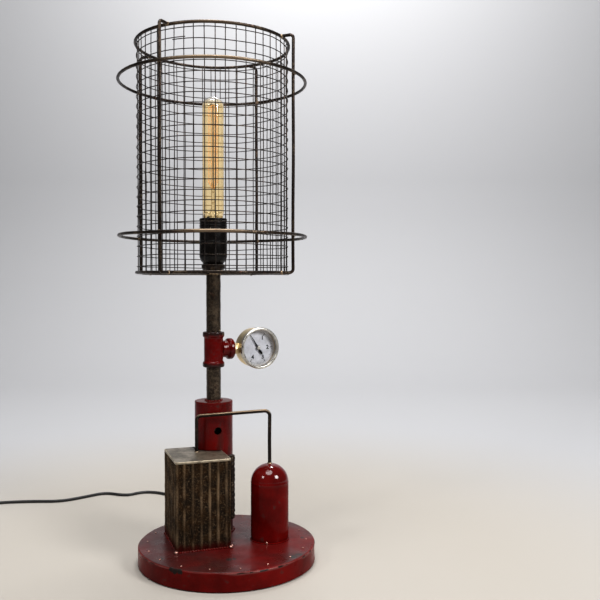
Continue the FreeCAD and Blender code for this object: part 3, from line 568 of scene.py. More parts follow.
def oxblood_paint(name, wear, rough, coat=0.10, sheen=0.08, chips=(), rims=None, top_face=None, streaks=0.0,
                  polished=None):
    """Gloss paint over iron, mottled, with edges rubbed through, chips at given places and dark rims."""
    finish = Finish(name, Coat_Weight=coat, Coat_Roughness=0.07, Coat_IOR=1.45, Metallic=0.0, IOR=1.45)
    finish.into(Specular_IOR_Level=sheen)
    cloud = finish.noise(24, 5, 0.6)
    tone = finish.clouded(cloud, 0.3, 0.7, "oxblood", 0.55, 1.15)
    if top_face:
        top = finish.ramp(finish.along(2), top_face - 0.0008, top_face - 0.0002)
        finish.into(Specular_IOR_Level=finish.ramp(top, 0, 1, sheen, 0.24))
        # The top face is made darker brown in cloudy patches.
        darker_top = finish.times(top, finish.ramp(cloud, 0.2, 0.8, 0.92, 0.5))
        tone = finish.mix(darker_top, tone, (0.034, 0.011, 0.010, 1))
        # Convex edges lightened to a dusty pink: a painted highlight along the lit rim of the drum.
        rubbed = finish.times(finish.ramp(finish.rub(), 0.3, 0.8), 0.45)
        tone = finish.mix(rubbed, tone, (0.26, 0.12, 0.11, 1))
    if streaks:
        runs = finish.ramp(finish.noise(70, 5, 0.65, finish.stretch(1, 1, 0.14)), 0.46, 0.66)
        tone = finish.mix(finish.times(runs, streaks), tone, (0.030, 0.010, 0.007, 1))
        tone = finish.mix(finish.ramp(finish.upward(), 0.5, 0.9, 0, 0.6), tone, (0.075, 0.020, 0.016, 1))
    if polished:
        finish.into(Coat_Weight=finish.ramp(finish.along(2), *polished, coat, 1.0))
    grime = finish.ramp(finish.noise(95, 4, 0.6), 0.60, 0.74)
    tone = finish.mix(finish.times(grime, 0.55), tone, shade("bare_iron", 1.1))
    edge = finish.times(finish.rub(), finish.ramp(finish.noise(70, 4), 0.35, 0.62))
    bare = finish.ramp(edge, 0.62 - 0.4 * wear, 0.95 - 0.4 * wear)
    for chip in chips:
        bare = finish.most(bare, finish.spot(*chip))
    if rims:
        middle, near, far = rims
        reach = finish.plus(finish.worked("ABSOLUTE", finish.along(2, middle), 0), finish.wander(0.006))
        bare = finish.most(bare, finish.ramp(reach, near, far, 0, 0.9))
    finish.into(Base_Color=finish.mix(bare, tone, shade("bare_iron", 0.45)))
    finish.rough_from(finish.noise(38, 4), rough - 0.07, rough + 0.12)
    finish.bump(finish.less(finish.noise(60, 5, 0.6), finish.times(bare, 0.35)), 0.35, 0.0006)
    return finish.material


def old_bronze(name, low, high, rough, grain=230, rubbed=(), top_highlight=0.0):
    """Dark browned iron with rubbed, speckled bronze showing through, and pale bronze painted about given
    points and, where asked, on faces that look up, as painted highlights.
    """
    finish = Finish(name, Metallic=0.75, IOR=1.5)
    speck = finish.noise(grain, 6, 0.7)
    patch = finish.noise(36, 4, 0.6)
    wear = finish.ramp(finish.plus(finish.times(speck, 0.6), finish.times(patch, 0.4)), low, high)
    # Pale bronze about the given points: painted highlight, as on the near arcs of the guard hoops.
    for place in rubbed:
        wear = finish.most(wear, finish.times(finish.about(*place), 0.6))
    # Faces that look up turned pale bronze: painted highlight of the overhead light.
    if top_highlight:
        wear = finish.most(wear, finish.ramp(finish.upward(), 0.25, 0.7, 0, top_highlight))
    tone = finish.mix(wear, colours().bronze_low, colours().bronze_high)
    rust = finish.ramp(finish.noise(120, 5, 0.6), 0.56, 0.7, 0, 0.5)
    finish.into(Base_Color=finish.mix(rust, tone, (0.085, 0.036, 0.022, 1)))
    finish.rough_from(speck, rough + 0.10, rough - 0.12)
    finish.bump(speck, 0.45, 0.0004)
    return finish.material


def ribbed_bronze(name):
    """Dark sheet with rubbed crests, streaked up and down, and a dark red band along its foot."""
    finish = Finish(name, Metallic=0.35, IOR=1.45, Specular_IOR_Level=0.1)
    streak = finish.noise(60, 5, 0.65, finish.stretch(1, 1, 0.16))
    speck = finish.noise(460, 6, 0.75)
    both = finish.plus(finish.times(streak, 0.5), finish.times(speck, 0.5))
    crest = finish.ramp(finish.attribute("crest"), 0.3, 1.0)
    shine = finish.times(crest, finish.ramp(both, 0.36, 0.62, 0.2, 1))
    shine = finish.most(shine, finish.ramp(speck, 0.50, 0.68, 0, 0.62))
    brown = finish.ramp(finish.noise(85, 5, 0.7), 0.4, 0.66)
    hollow = finish.mix(brown, colours().rib_low, (0.036, 0.0175, 0.0062, 1))
    tone = finish.mix(shine, hollow, colours().rib_high)
    # A dark red band along the foot of the sheet, with a ragged upper border.
    foot = finish.ramp(finish.less(finish.along(2), finish.times(streak, 0.012)), 0.030, 0.020)
    finish.into(Base_Color=finish.mix(finish.times(foot, 0.85), tone, shade("oxblood", 0.45)))
    finish.rough_from(speck, 0.62, 0.38)
    finish.bump(finish.plus(speck, streak), 0.55, 0.0008)
    return finish.material


def pale_bronze_plate(name):
    """Pale hammered bronze with edges brightened as worn metal and as painted highlight, and a dark band
    where it meets the sleeve, painted as the sleeve's shadow and reflection.
    """
    finish = Finish(name, Metallic=0.4, IOR=1.5)
    cloud = finish.noise(48, 6, 0.68)
    tone = finish.clouded(cloud, 0.36, 0.64, "plate", 0.5, 1.25)
    # Edges brightened towards pale bronze: partly worn metal, partly a painted highlight along the lit
    # edges.
    ragged = finish.ramp(finish.noise(110, 4), 0.34, 0.6, 0.25, 1)
    bright = finish.times(finish.ramp(finish.rub(), 0.2, 0.75), ragged)
    tone = finish.mix(finish.times(bright, 0.9), tone, (0.66, 0.56, 0.40, 1))
    # Dark band about the sleeve: painted shadow and reflection of the sleeve on the plate.
    painted_sleeve_shade = finish.spot(PIPE.x, PIPE.y, BOX_HIGH.z, 0.033, 0.2)
    finish.into(Base_Color=finish.mix(finish.times(painted_sleeve_shade, 0.75), tone, colours().bare_iron))
    finish.rough_from(cloud, 0.5, 0.34)
    finish.bump(finish.plus(cloud, finish.noise(260, 4)), 0.4, 0.0007)
    return finish.material


def plain_metal(name, tint, rough=0.25, metal=1.0, grain=180):
    """Bare metal with a light grain and a little tarnish."""
    finish = Finish(name, Metallic=metal)
    cloud = finish.noise(grain * 0.3, 4, 0.6)
    finish.into(Base_Color=finish.clouded(cloud, 0.35, 0.7, tint, 0.72, 1.08))
    finish.rough_from(finish.noise(grain, 4), rough - 0.06, rough + 0.1)
    finish.bump(finish.noise(grain * 4, 4), 0.25, 0.00004)
    return finish.material


def glowing_wire(name, tint, glow):
    """Thin wire with a faint warm glow along it."""
    finish = Finish(name, Metallic=0.3, Roughness=0.5, Emission_Strength=glow, Emission_Color=tint)
    finish.into(Base_Color=finish.clouded(finish.noise(120, 3), 0.3, 0.7, tint, 0.7, 1))
    return finish.material


def moulded(name, tint, rough, coat=0.0, grain=500, bend=1.45):
    """Moulded plastic, rubber or enamel with a fine grain."""
    finish = Finish(name, Metallic=0.0, IOR=bend, Coat_Weight=coat, Coat_Roughness=0.15)
    cloud = finish.noise(70, 4, 0.6)
    finish.into(Base_Color=finish.clouded(cloud, 0.3, 0.7, tint, 0.8, 1.15))
    finish.rough_from(cloud, rough - 0.05, rough + 0.1)
    finish.bump(finish.noise(grain, 4), 0.2, 0.0001)
    return finish.material


def thin_glass(name):
    """A flat pane that shows what lies behind it, with a faint shine."""
    finish = Finish(name, Roughness=0.03, Metallic=0.0, IOR=1.5)
    smear = finish.ramp(finish.noise(40, 3), 0.3, 0.7)
    finish.into(Base_Color=finish.mix(smear, (0.02, 0.02, 0.02, 1), (0.04, 0.04, 0.04, 1)))
    finish.into(Alpha=finish.ramp(smear, 0, 1, 0.04, 0.07))
    return finish.material


def clear_glass(name, tint, rough=0.02, glow=0.0, clear_above=1.0):
    """Glass, tinted by the light that passes through it, with a faint warm glow below its clear end."""
    finish = Finish(name, Transmission_Weight=1.0, IOR=1.45, Roughness=rough, Metallic=0.0)
    finish.into(Specular_IOR_Level=0.14, Emission_Color=(1.0, 0.68, 0.27, 1))
    end = finish.ramp(finish.along(2, clear_above), 0.0, 0.005)
    tone = finish.clouded(finish.noise(30, 3), 0.3, 0.7, tint, 0.95, 1.0)
    finish.into(Base_Color=finish.mix(end, tone, (1, 0.98, 0.94, 1)))
    finish.into(Emission_Strength=finish.times(finish.less(1, end), glow))
    return finish.material


DRUM_CHIPS = (
    (-0.0855, -0.0730, 0.0228, 0.0040, 0.5),
    (-0.0810, -0.0778, 0.0218, 0.0044, 0.5),
    (-0.0772, -0.0816, 0.0225, 0.0038, 0.5),
    (0.0610, -0.0850, 0.024, 0.0052, 0.5),
    (0.0690, -0.0785, 0.024, 0.0042, 0.5),
    (-0.0140, -0.0670, 0.024, 0.0040, 0.3),
    (-0.0080, -0.0664, 0.024, 0.0032, 0.3),
    (-0.090, -0.040, 0.024, 0.0024, 0.9),
    (0.094, -0.020, 0.024, 0.0030, 0.9),
    (0.066, 0.070, 0.024, 0.0050, 0.9),
    (-0.030, 0.104, 0.023, 0.0045, 0.9),
)
# Soft pale patches on the near arcs of the two guard hoops: painted highlight of the overhead light.
ROD_HIGHLIGHTS = ((-0.0330, -0.0700, LOWER_HOOP, 0.034), (-0.0330, -0.0700, UPPER_HOOP, 0.050))
TEE_RIMS = (TEE_HEIGHT, 0.0168, 0.0205)
DOME = (0.092, 0.104)
CLEAR_END = 0.589

FINISHES = {
    "drum_paint": (
        "oxblood", oxblood_paint,
        dict(wear=0.35, rough=0.30, coat=0.05, sheen=0.05, chips=DRUM_CHIPS, top_face=DRUM_TOP)
    ),
    "sleeve_paint": ("oxblood", oxblood_paint, dict(wear=0.2, rough=0.28, streaks=0.6)),
    "bottle_paint": (
        "oxblood", oxblood_paint, dict(wear=0.2, rough=0.16, coat=0.12, sheen=0.02, polished=DOME)
    ),
    "tee_paint": ("red_fitting", oxblood_paint, dict(wear=0.6, rough=0.18, coat=0.3, rims=TEE_RIMS)),
    "rod_bronze": ("dark_bronze", old_bronze, dict(low=0.46, high=0.86, rough=0.36, rubbed=ROD_HIGHLIGHTS)),
    "link_bronze": ("dark_bronze", old_bronze, dict(low=0.52, high=0.92, rough=0.36, top_highlight=0.8)),
    "wire_bronze": ("dark_bronze", old_bronze, dict(low=0.54, high=0.98, rough=0.40)),
    "tube_bronze": ("dark_bronze", old_bronze, dict(low=0.37, high=0.85, rough=0.32, grain=260)),
    "weld_metal": ("dark_bronze", old_bronze, dict(low=0.30, high=0.55, rough=0.35, grain=400)),
    "bar_iron": ("dark_bronze", old_bronze, dict(low=0.50, high=0.78, rough=0.5, grain=400)),
    # Pale pinkish metal on the studs and small weld drops: a painted highlight standing for their bright
    # glints.
    "stud_metal": ("dark_bronze", plain_metal, dict(tint=(0.50, 0.27, 0.22), metal=0.7, grain=600)),
    "ribbed_bronze": ("bronze_ribs", ribbed_bronze, {}),
    "pale_bronze_plate": ("pale_bronze", pale_bronze_plate, {}),
    "gauge_brass": ("gauge_brass", plain_metal, dict(tint="brass", rough=0.34)),
    "bezel_chrome": ("gauge_chrome", plain_metal, dict(tint="chrome", rough=0.3)),
    "inner_steel": ("inner_steel", plain_metal, dict(tint=(0.5, 0.5, 0.5), rough=0.35)),
    "contact_brass": ("contact_brass", plain_metal, dict(tint="brass", rough=0.35)),
    "cap_metal": ("cap_metal", plain_metal, dict(tint=(0.72, 0.66, 0.52), rough=0.3)),
    "filament_wire": ("filament", glowing_wire, dict(tint=(0.95, 0.40, 0.09, 1), glow=0.35)),
    "support_wire": ("inner_steel", plain_metal, dict(tint=(0.07, 0.045, 0.03), rough=0.4, metal=0.6)),
    "dial_enamel": ("dial_white", moulded, dict(tint="dial", rough=0.45, grain=900)),
    "dial_print": ("black_enamel", moulded, dict(tint=(0.006, 0.006, 0.009), rough=0.7, bend=1.2)),
    "pointer_black": ("black_enamel", moulded, dict(tint=(0.006, 0.006, 0.006), rough=0.6, bend=1.2)),
    "bakelite": ("bakelite", moulded, dict(tint="bakelite", rough=0.25, bend=1.28)),
    "porcelain": ("porcelain", moulded, dict(tint=(0.85, 0.84, 0.80), rough=0.3, coat=0.5)),
    "lead_sheath": ("black_pvc", moulded, dict(tint="lead", rough=0.42)),
    "plug_black": ("black_plastic", moulded, dict(tint=(0.016, 0.016, 0.017), rough=0.45)),
    "tie_grey": ("black_plastic", moulded, dict(tint=(0.13, 0.13, 0.125), rough=0.5)),
    "felt_pad": ("felt_pad", moulded, dict(tint=(0.03, 0.03, 0.03), rough=0.95, grain=1400)),
    "lens_glass": ("clear_lens", thin_glass, {}),
    "amber_glass": ("amber_glass", clear_glass, dict(tint="amber", glow=0.055, clear_above=CLEAR_END)),
    "stem_glass": ("clear_glass", clear_glass, dict(tint=(0.98, 0.95, 0.88), rough=0.05)),
}


@functools.cache
def finish_of(name):
    """A finish's slot and its material, which is made once."""
    slot, maker, values = FINISHES[name]
    return slot, maker(name, **values)


# Camera, floor and lights

PICTURE = 600
FOCAL = 775
HORIZON_ROW = 282.5
EYE = (-0.236, -0.960, 0.3535)
FORWARD = Vector((0.3291, 0.9443, 0)).normalized()
FILM_WIDTH = 36
LIGHTS = (
    ("top_light", (-0.27, -0.58, 2.10), (0, 0, 0.2), 1.3, 36),
    ("left_light", (-1.66, -0.75, 1.43), (0, 0, 0.3), 0.5, 10),
    ("right_light", (1.13, -1.54, 1.40), (0, 0, 0.3), 0.8, 38),
    ("wall_light", (0.6, 1.1, 2.9), (0.9, 2.4, 0.8), 1.0, 84),
)


def curved_floor(right):
    """A wide floor that sweeps up into a wall behind the lamp."""
    reach, back, sweep, rise = 6.0, 1.6, 0.8, 3.2
    rows = [(-reach, 0.0), (back, 0.0)]
    for step in range(1, 9):
        a = math.pi / 2 * step / 8
        rows.append((back + sweep * math.sin(a), sweep * (1 - math.cos(a))))
    rows.append((back + sweep, rise))
    form = bmesh.new()
    last = None
    for distance, height in rows:
        base = FORWARD * distance
        pair = [form.verts.new(base + right * side * reach + UP * height) for side in (-1, 1)]
        if last:
            form.faces.new([last[0], last[1], pair[1], pair[0]])
        last = pair
    return mesh_of(form, "floor")


class PIPELAMP_OT_stage(bpy.types.Operator):
    """Sets the camera, the pale floor and the soft studio lights"""

    bl_idname = "pipelamp.stage"
    bl_label = "Stage"

    def execute(self, context):
        scene = context.scene
        pitch = math.atan((PICTURE / 2 - HORIZON_ROW) / FOCAL)
        look = FORWARD * math.cos(pitch) - UP * math.sin(pitch)
        right = look.cross(UP).normalized()
        camera = linked("view", bpy.data.cameras.new("view"))
        turn = Matrix((right, right.cross(look), -look)).transposed().to_4x4()
        camera.matrix_world = Matrix.Translation(EYE) @ turn
        camera.data.sensor_width = FILM_WIDTH
        camera.data.lens = FOCAL / PICTURE * FILM_WIDTH
        camera.data.clip_start = 0.01
        scene.camera = camera

        mesh = curved_floor(right)
        mesh.polygons.foreach_set("use_smooth", [True] * len(mesh.polygons))
        ground = Finish("floor_finish", Roughness=0.75)
        near = ground.clouded(ground.noise(3, 3), 0.3, 0.7, "floor", 0.98, 1)
        far = ground.ramp(ground.distance(0, 0, 0), 0.3, 1.0)
        ground.into(Base_Color=ground.mix(far, near, colours().wall))
        mesh.materials.append(ground.material)
        linked("floor", mesh)

        for name, place, aim, size, power in LIGHTS:
            light = bpy.data.lights.new(name, "AREA")
            light.shape = "DISK"
            light.size = size
            light.energy = power
            turn = (Vector(aim) - Vector(place)).to_track_quat("-Z", "Y").to_matrix().to_4x4()
            linked(name, light).matrix_world = Matrix.Translation(place) @ turn
        scene.world = bpy.data.worlds.new("studio")
        scene.world.use_nodes = True
        sky = scene.world.node_tree.nodes["Background"]
        sky.inputs["Color"].default_value = (0.96, 0.97, 1.0, 1)
        sky.inputs["Strength"].default_value = 0.10
        scene.view_settings.view_transform = "Standard"
        scene.view_settings.gamma = 0.9
        return {"FINISHED"}


# Mains lead

LEAD_START = (
    (-0.0060, 0.1461, 0.0130), (-0.0065, 0.1630, 0.0105), (-0.0085, 0.1840, 0.0032),
    (-0.0100, 0.2040, 0.0045), (-0.0100, 0.2360, 0.0045), (-0.0100, 0.2680, 0.0045),
    (-0.0120, 0.2910, LEAD_REST), (-0.0220, 0.3170, LEAD_REST), (-0.0380, 0.3370, LEAD_REST),
    (-0.0600, 0.3480, LEAD_REST), (-0.0890, 0.3330, LEAD_REST), (-0.1190, 0.3640, LEAD_REST),
    (-0.1500, 0.3500, LEAD_REST), (-0.1920, 0.3340, LEAD_REST), (-0.2360, 0.3500, LEAD_REST),
    (-0.2760, 0.3580, LEAD_REST), (-0.3020, 0.3575, LEAD_REST),
)
LEAD_END = ((-0.3560, 0.3060, 0.0040), (-0.3548, 0.2950, 0.0055), (-0.3540, 0.2840, 0.00685))
COIL_CENTRE = Vector((-0.328, 0.330, 0))
COIL_RADIUS = 0.0252
COIL_TURNS = 8.3
COIL_START, COIL_END = math.radians(82), math.radians(200)
TIE_PLACE = math.radians(320)
COIL_LANES = ((0.0, 0.0), (-0.0047, 0.0), (0.0047, 0.0), (0.0023, 0.0044), (-0.0023, 0.0044), (0.0, 0.0086))


def coil_turns():
    """Loose turns that lie beside and on each other, a lead's width apart."""
    total = round(COIL_TURNS * 14)
    sweep = 2 * math.pi * math.floor(COIL_TURNS) + COIL_END - COIL_START
    points = []
    for k in range(total + 1):
        part = k / total
        lane = part * (len(COIL_LANES) - 1)
        low = min(int(lane), len(COIL_LANES) - 2)
        blend = lane - low
        blend = blend * blend * (3 - 2 * blend)
        aside, lift = (a * (1 - blend) + b * blend for a, b in zip(COIL_LANES[low], COIL_LANES[low + 1]))
        angle = COIL_START + sweep * part
        points.append(COIL_CENTRE + around(angle, COIL_RADIUS + aside, LEAD_REST + lift))
    return points


def tie_about(coil):
    """A soft band with a twisted knot, pulled round the turns of the coil at one side of it."""
    out = around(TIE_PLACE)
    turns = [point - COIL_CENTRE for point in coil]
    near = [turn for turn in turns if turn.x * out.x + turn.y * out.y > 0.93 * math.hypot(turn.x, turn.y)]
    reach = [math.hypot(turn.x, turn.y) for turn in near]
    slack = 0.0032
    middle, half = (min(reach) + max(reach)) / 2, (max(reach) - min(reach)) / 2 + slack
    low, high = 0.0012, max(turn.z for turn in near) + slack
    loop = []
    for a in even_angles(32):
        aside = half * math.copysign(abs(math.cos(a)) ** 0.6, math.cos(a))
        lift = (high - low) / 2 * (1 + math.copysign(abs(math.sin(a)) ** 0.6, math.sin(a)))
        loop.append(COIL_CENTRE + out * (middle + aside) + UP * (low + lift))
    knot = bead(COIL_CENTRE + out * (middle + half) + UP * (low + high) / 2, 0.0024, 1.2, 5)
    return joined([sheathed(loop, 0.0012, 10, True), knot])


class PIPELAMP_OT_lead(bpy.types.Operator):
    """Lays the mains lead with its coil, in-line switch and plug"""

    bl_idname = "pipelamp.lead"
    bl_label = "Mains lead"

    def execute(self, context):
        sizes = context.scene.lamp_sizes
        fittings = [
            piece_of(name, cad_form(node, bevel, segments), finish, node, body=body)
            for name, node, bevel, segments, finish, body in (
                ("lead_gland", "cable_gland", 0.0004, 2, "plug_black", "lamp"),
                ("inline_switch", "switch_body", 0.0008, 3, "plug_black", "lamp"),
                ("inline_rocker", "switch_rocker", 0.0003, 2, "plug_black", "rocker"),
                ("mains_plug", "plug_body", 0.0010, 3, "plug_black", "lamp"),
                ("mains_pins", "plug_pins", 0.0005, 2, "inner_steel", "lamp"),
            )
        ]
        coil = coil_turns()
        points = [Vector(point) for point in LEAD_START] + coil + [Vector(point) for point in LEAD_END]
        tie = piece_of("lead_tie", tie_about(coil), "tie_grey")
        curve = bpy.data.curves.new("mains_lead", "CURVE")
        curve.dimensions = "3D"
        spline = curve.splines.new("NURBS")
        spline.points.add(len(points) - 1)
        for point, place in zip(spline.points, points):
            point.co = (*place, 1)
        spline.order_u = 3
        spline.use_endpoint_u = True
        spline.resolution_u = 8
        curve.bevel_depth = sizes.lead_diameter / 2
        curve.bevel_resolution = 4
        curve.use_fill_caps = True
        slot, material = finish_of("lead_sheath")
        curve.materials.append(material)
        lead = linked("mains_lead", curve)
        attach(lead, "lamp")
        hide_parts("lead_near", "lead_far", "lead_tail", "lead_coil")
        return {"FINISHED"}


# Drum

class PIPELAMP_OT_drum(bpy.types.Operator):
    """Makes the round drum with its studs, chips and weld drops"""

    bl_idname = "pipelamp.drum"
    bl_label = "Drum"

    def execute(self, context):
        sizes = context.scene.lamp_sizes
        radius = sizes.drum_radius
        wall, ceiling, lip = 0.004, 0.0210, 0.0012
        profile = rounded([
            (0, ceiling),
            (radius - wall, ceiling),
            (radius - wall, lip, 0.0003),
            (radius, lip, 0.0006),
            (radius, DRUM_TOP, 0.0022),
            (0, DRUM_TOP),
        ], 0.0006, 5)
        path = []
        for here, after in zip(profile, profile[1:] + profile[:1]):
            parts = max(1, int((after - here).length / 0.003))
            path += [here.lerp(after, k / parts) for k in range(parts)]
        form = turned(path, 160)
        for vert in form.verts:
            dent = noise.noise(vert.co * 16) * 0.00045 + noise.noise(vert.co * 45) * 0.00012 - 0.0003
            if vert.co.z > 0.022:
                vert.co.z += dent
            elif vert.co.z > 0.002:
                vert.co += Vector((vert.co.x, vert.co.y, 0)).normalized() * dent
        piece_of("drum", form, "drum_paint", "base_drum", rub=True)
        studs = []
        for k in range(sizes.stud_count):
            uneven = 1.5 * noise.noise(Vector((k * 1.3, 0, 0)))
            a = math.radians(-175.5 + 360 / sizes.stud_count * k + uneven)
            studs.append(bead(around(a, 0.1008, DRUM_TOP), 0.00125, 0.55, k))
        piece_of("drum_studs", joined(studs), "stud_metal")
        return {"FINISHED"}


class PIPELAMP_OT_column(bpy.types.Operator):
    """Makes the sleeve pipe with its cap and cable hole, and the two lengths of tube"""

    bl_idname = "pipelamp.column"
    bl_label = "Sleeve and tubes"

    def execute(self, context):
        sizes = context.scene.lamp_sizes
        radius, tube = sizes.sleeve_radius, sizes.tube_radius
        seam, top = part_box("sleeve_pipe")[1].z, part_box("sleeve_cap")[1].z
        piece_of("sleeve", sleeve_with_hole(radius, DRUM_TOP, seam - 0.0002), "sleeve_paint", "sleeve_pipe")
        bore = tube + 0.00005
        cap = [(bore, seam), (radius, seam, 0.0001), (radius + 0.0001, top, 0.0012), (bore, top)]
        lid = roughened(at_pipe(turned(rounded(cap, 0.0002, 5), 96)), 0.00012, 160)
        piece_of("sleeve_lid", lid, "sleeve_paint", "sleeve_cap", rub=True)
        for name, node in (("tube_below_tee", "lower_tube"), ("tube_above_tee", "upper_tube")):
            bottom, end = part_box(node)[0].z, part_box(node)[1].z
            inner = tube - 0.002
            outline = [(inner, bottom), (tube, bottom)]
            outline += [(tube, bottom + (end - bottom) * k / 60) for k in range(1, 60)]
            outline += [(tube, end), (inner, end)]
            form = roughened(turned(outline, 40), 0.00022, 90, 3.0)
            piece_of(name, at_pipe(form), "tube_bronze", node)
        foot = [PIPE + around(a, tube + 0.0008, top) for a in even_angles(16)]
        piece_of("tube_foot_weld", weld_run(foot, 0.0021, 2.0, 0.8), "sleeve_paint")
        base = [PIPE + around(a, radius + 0.0008, DRUM_TOP) for a in even_angles(44)]
        piece_of("sleeve_foot_weld", weld_run(base, 0.0024, 5.0), "sleeve_paint")
        return {"FINISHED"}


def sleeve_with_hole(radius, low, high):
    """A pipe with a round hole drilled in its front wall."""
    inner = radius - 0.003
    pipe = turned(rounded([(inner, low), (radius, low), (radius, high), (inner, high)], 0.0001, 1), 96)
    drill = bmesh.new()
    bmesh.ops.create_cone(
        drill, cap_ends=True, segments=48, radius1=0.005, radius2=0.005, depth=0.03,
        matrix=Matrix.Translation((0, -radius, 0.160)) @ Matrix.Rotation(math.pi / 2, 4, "X"),
    )
    for form in (pipe, drill):
        bmesh.ops.recalc_face_normals(form, faces=form.faces)
    pipe, drill = linked("pipe", mesh_of(pipe, "pipe")), linked("drill", mesh_of(drill, "drill"))
    cut = pipe.modifiers.new("hole", "BOOLEAN")
    cut.operation = "DIFFERENCE"
    cut.solver = "EXACT"
    cut.object = drill
    form = baked(pipe)
    bpy.data.batch_remove([drill, drill.data])
    return at_pipe(form)


# Tee and gauge

class PIPELAMP_OT_tee(bpy.types.Operator):
    """Makes the cast tee with its rolled collars"""

    bl_idname = "pipelamp.tee"
    bl_label = "Tee"

    def execute(self, context):
        half, body, collar = 23.6, 12.6, 14.4
        run = lathed([
            (9.9, -half), (collar, -half, 2.0), (collar, -half + 6.2, 2.0), (body, -half + 8.0, 1.6),
            (body, half - 8.0, 1.6), (collar, half - 6.2, 2.0), (collar, half, 2.0), (9.9, half),
        ], 96, 0.4, 5)
        branch = lathed([
            (6.9, 10.2), (11.0, 10.2, 0.2), (11.4, 18.4, 1.4), (14.1, 20.2, 2.0), (14.1, 26.7, 2.0),
            (6.9, 26.7),
        ], 96, 0.4, 5)
        moved(branch, Matrix.Rotation(math.pi / 2, 4, "Y"))
        casting = linked("casting", mesh_of(joined([run, branch]), "casting"))
        remesh = casting.modifiers.new("blend", "REMESH")
        remesh.mode = "VOXEL"
        remesh.voxel_size = 0.00055
        smooth = casting.modifiers.new("soften", "SMOOTH")
        smooth.factor = 0.5
        smooth.iterations = 5
        form = roughened(baked(casting), 0.00012, 260)
        piece_of("tee", on_tee(form), "tee_paint", "tee_fitting", sharp=70, rub=True)
        return {"FINISHED"}


class PIPELAMP_OT_gauge(bpy.types.Operator):
    """Makes the gauge's stem, case, bezel, lens, dial, printed scale and pointer"""

    bl_idname = "pipelamp.gauge"
    bl_label = "Pressure gauge"

    def execute(self, context):
        piece_of("gauge_stem_hex", cad_form("gauge_stem", 0.0004), "gauge_brass", "gauge_stem")
        case = lathed([
            (0, -11.0), (24.5, -11.0, 2.2), (26.5, -9.0, 1.5), (26.5, 10.4, 0.2), (25.3, 10.4, 0.2),
            (25.3, -9.8, 1.2), (0, -9.8),
        ], 128, 0.4, 5)
        piece_of("gauge_shell", facing(case), "gauge_brass", "gauge_case")
        bezel = lathed([
            (24.3, 10.5, 0.2), (27.6, 10.5, 0.8), (28.2, 12.0, 1.0), (28.0, 15.2, 1.4), (26.6, 16.5, 1.2),
            (24.9, 16.2, 0.6), (24.3, 14.8, 0.5),
        ], 128, 0.5, 5)
        piece_of("gauge_rim", facing(bezel), "bezel_chrome", "gauge_bezel")
        lens = lathed([(0, 12.0), (24.25, 12.0, 0.2), (24.25, 13.8, 0.3), (0, 14.0)], 96, 0.2, 3)
        piece_of("gauge_glass", facing(lens), "lens_glass", "gauge_lens")
        dial = lathed([(1.4, 5.6), (25.25, 5.6), (25.25, 6.6), (1.4, 6.6)], 96, 0.1, 2)
        piece_of("gauge_face", facing(dial), "dial_enamel", "gauge_dial")
        piece_of("gauge_scale", facing(dial_print()), "dial_print")
        piece_of("gauge_hand", facing(pointer_form()), "pointer_black", "gauge_pointer", body="pointer")
        boss = lathed([(0, 9.3), (2.3, 9.3), (2.2, 10.2, 0.4), (0, 10.2)], 48, 0.2, 4)
        piece_of("gauge_hub", facing(boss), "bezel_chrome", body="pointer")
        return {"FINISHED"}


SCALE_START = 33.0
SCALE_STEP = -61.0
SCALE_OUTER = 0.0222
PRINT_HEIGHT = 0.00664


def scale_angle(mark):
    """The angle of a place on the dial, where whole marks carry the numbers."""
    return math.radians(SCALE_START + SCALE_STEP * mark)


def dial_print():
    """The scale's strokes and its plain numbers, as a thin layer on the dial."""
    forms = []
    for index in range(41):
        major = index % 10 == 0
        inner = 0.0182 if major else 0.0200 if index % 5 == 0 else 0.0208
        stroke = bmesh.new()
        bmesh.ops.create_cube(stroke, size=1)
        size = Matrix.Diagonal((0.00084 if major else 0.00040, SCALE_OUTER - inner, 0.00008, 1))
        lift = Matrix.Translation((0, (SCALE_OUTER + inner) / 2, PRINT_HEIGHT))
        forms.append(moved(stroke, Matrix.Rotation(scale_angle(index / 10), 4, "Z") @ lift @ size))
    for number in range(1, 5):
        text = bpy.data.curves.new("number", "FONT")
        text.body = str(number)
        text.size = 0.0076
        text.offset = 0.00026
        text.align_x = "CENTER"
        text.align_y = "CENTER"
        text.extrude = 0.00004
        digit = baked(linked("number", text))
        bmesh.ops.remove_doubles(digit, verts=digit.verts, dist=1e-6)
        where = around(scale_angle(number) + math.pi / 2, 0.0148, PRINT_HEIGHT)
        forms.append(moved(digit, Matrix.Translation(where)))
    return joined(forms)


def pointer_form():
    """The slim hand with its broad counterweight."""
    right = [(0.30, 20.0), (0.90, 2.0), (0.90, -4.0), (1.6, -4.8), (1.6, -10.2)]
    left = [(-x, y) for x, y in reversed(right)]
    form = bmesh.new()
    form.faces.new([form.verts.new((x * MM, y * MM, 0.0080)) for x, y in right + left])
    raised(form, form.faces[:], 0.0006)
    hub = lathed([(1.05, 7.3), (2.6, 7.3), (2.6, 9.2), (1.05, 9.2)], 40, 0.2, 3)
    return moved(joined([form, hub]), Matrix.Rotation(scale_angle(0), 4, "Z"))


# Ribbed box

RIBS = (-69.2, -60.3, -49.6, -39.0, -28.3, -17.6, -7.0)


def box_wall_ribs():
    """Each wall's start, direction, length and rib places, in metres."""
    left, right = BOX_LOW.x, BOX_HIGH.x
    front, back = BOX_LOW.y, BOX_HIGH.y
    depth = back - front
    front_ribs = [x * MM - left for x in RIBS]
    side_ribs = [0.0018 + (depth - 0.0036) * k / 8 for k in range(9)]
    return (
        (Vector((left, front)), Vector((1, 0)), right - left, front_ribs),
        (Vector((right, front)), Vector((0, 1)), depth, side_ribs),
        (Vector((right, back)), Vector((-1, 0)), right - left, front_ribs),
        (Vector((left, back)), Vector((0, -1)), depth, side_ribs),
    )


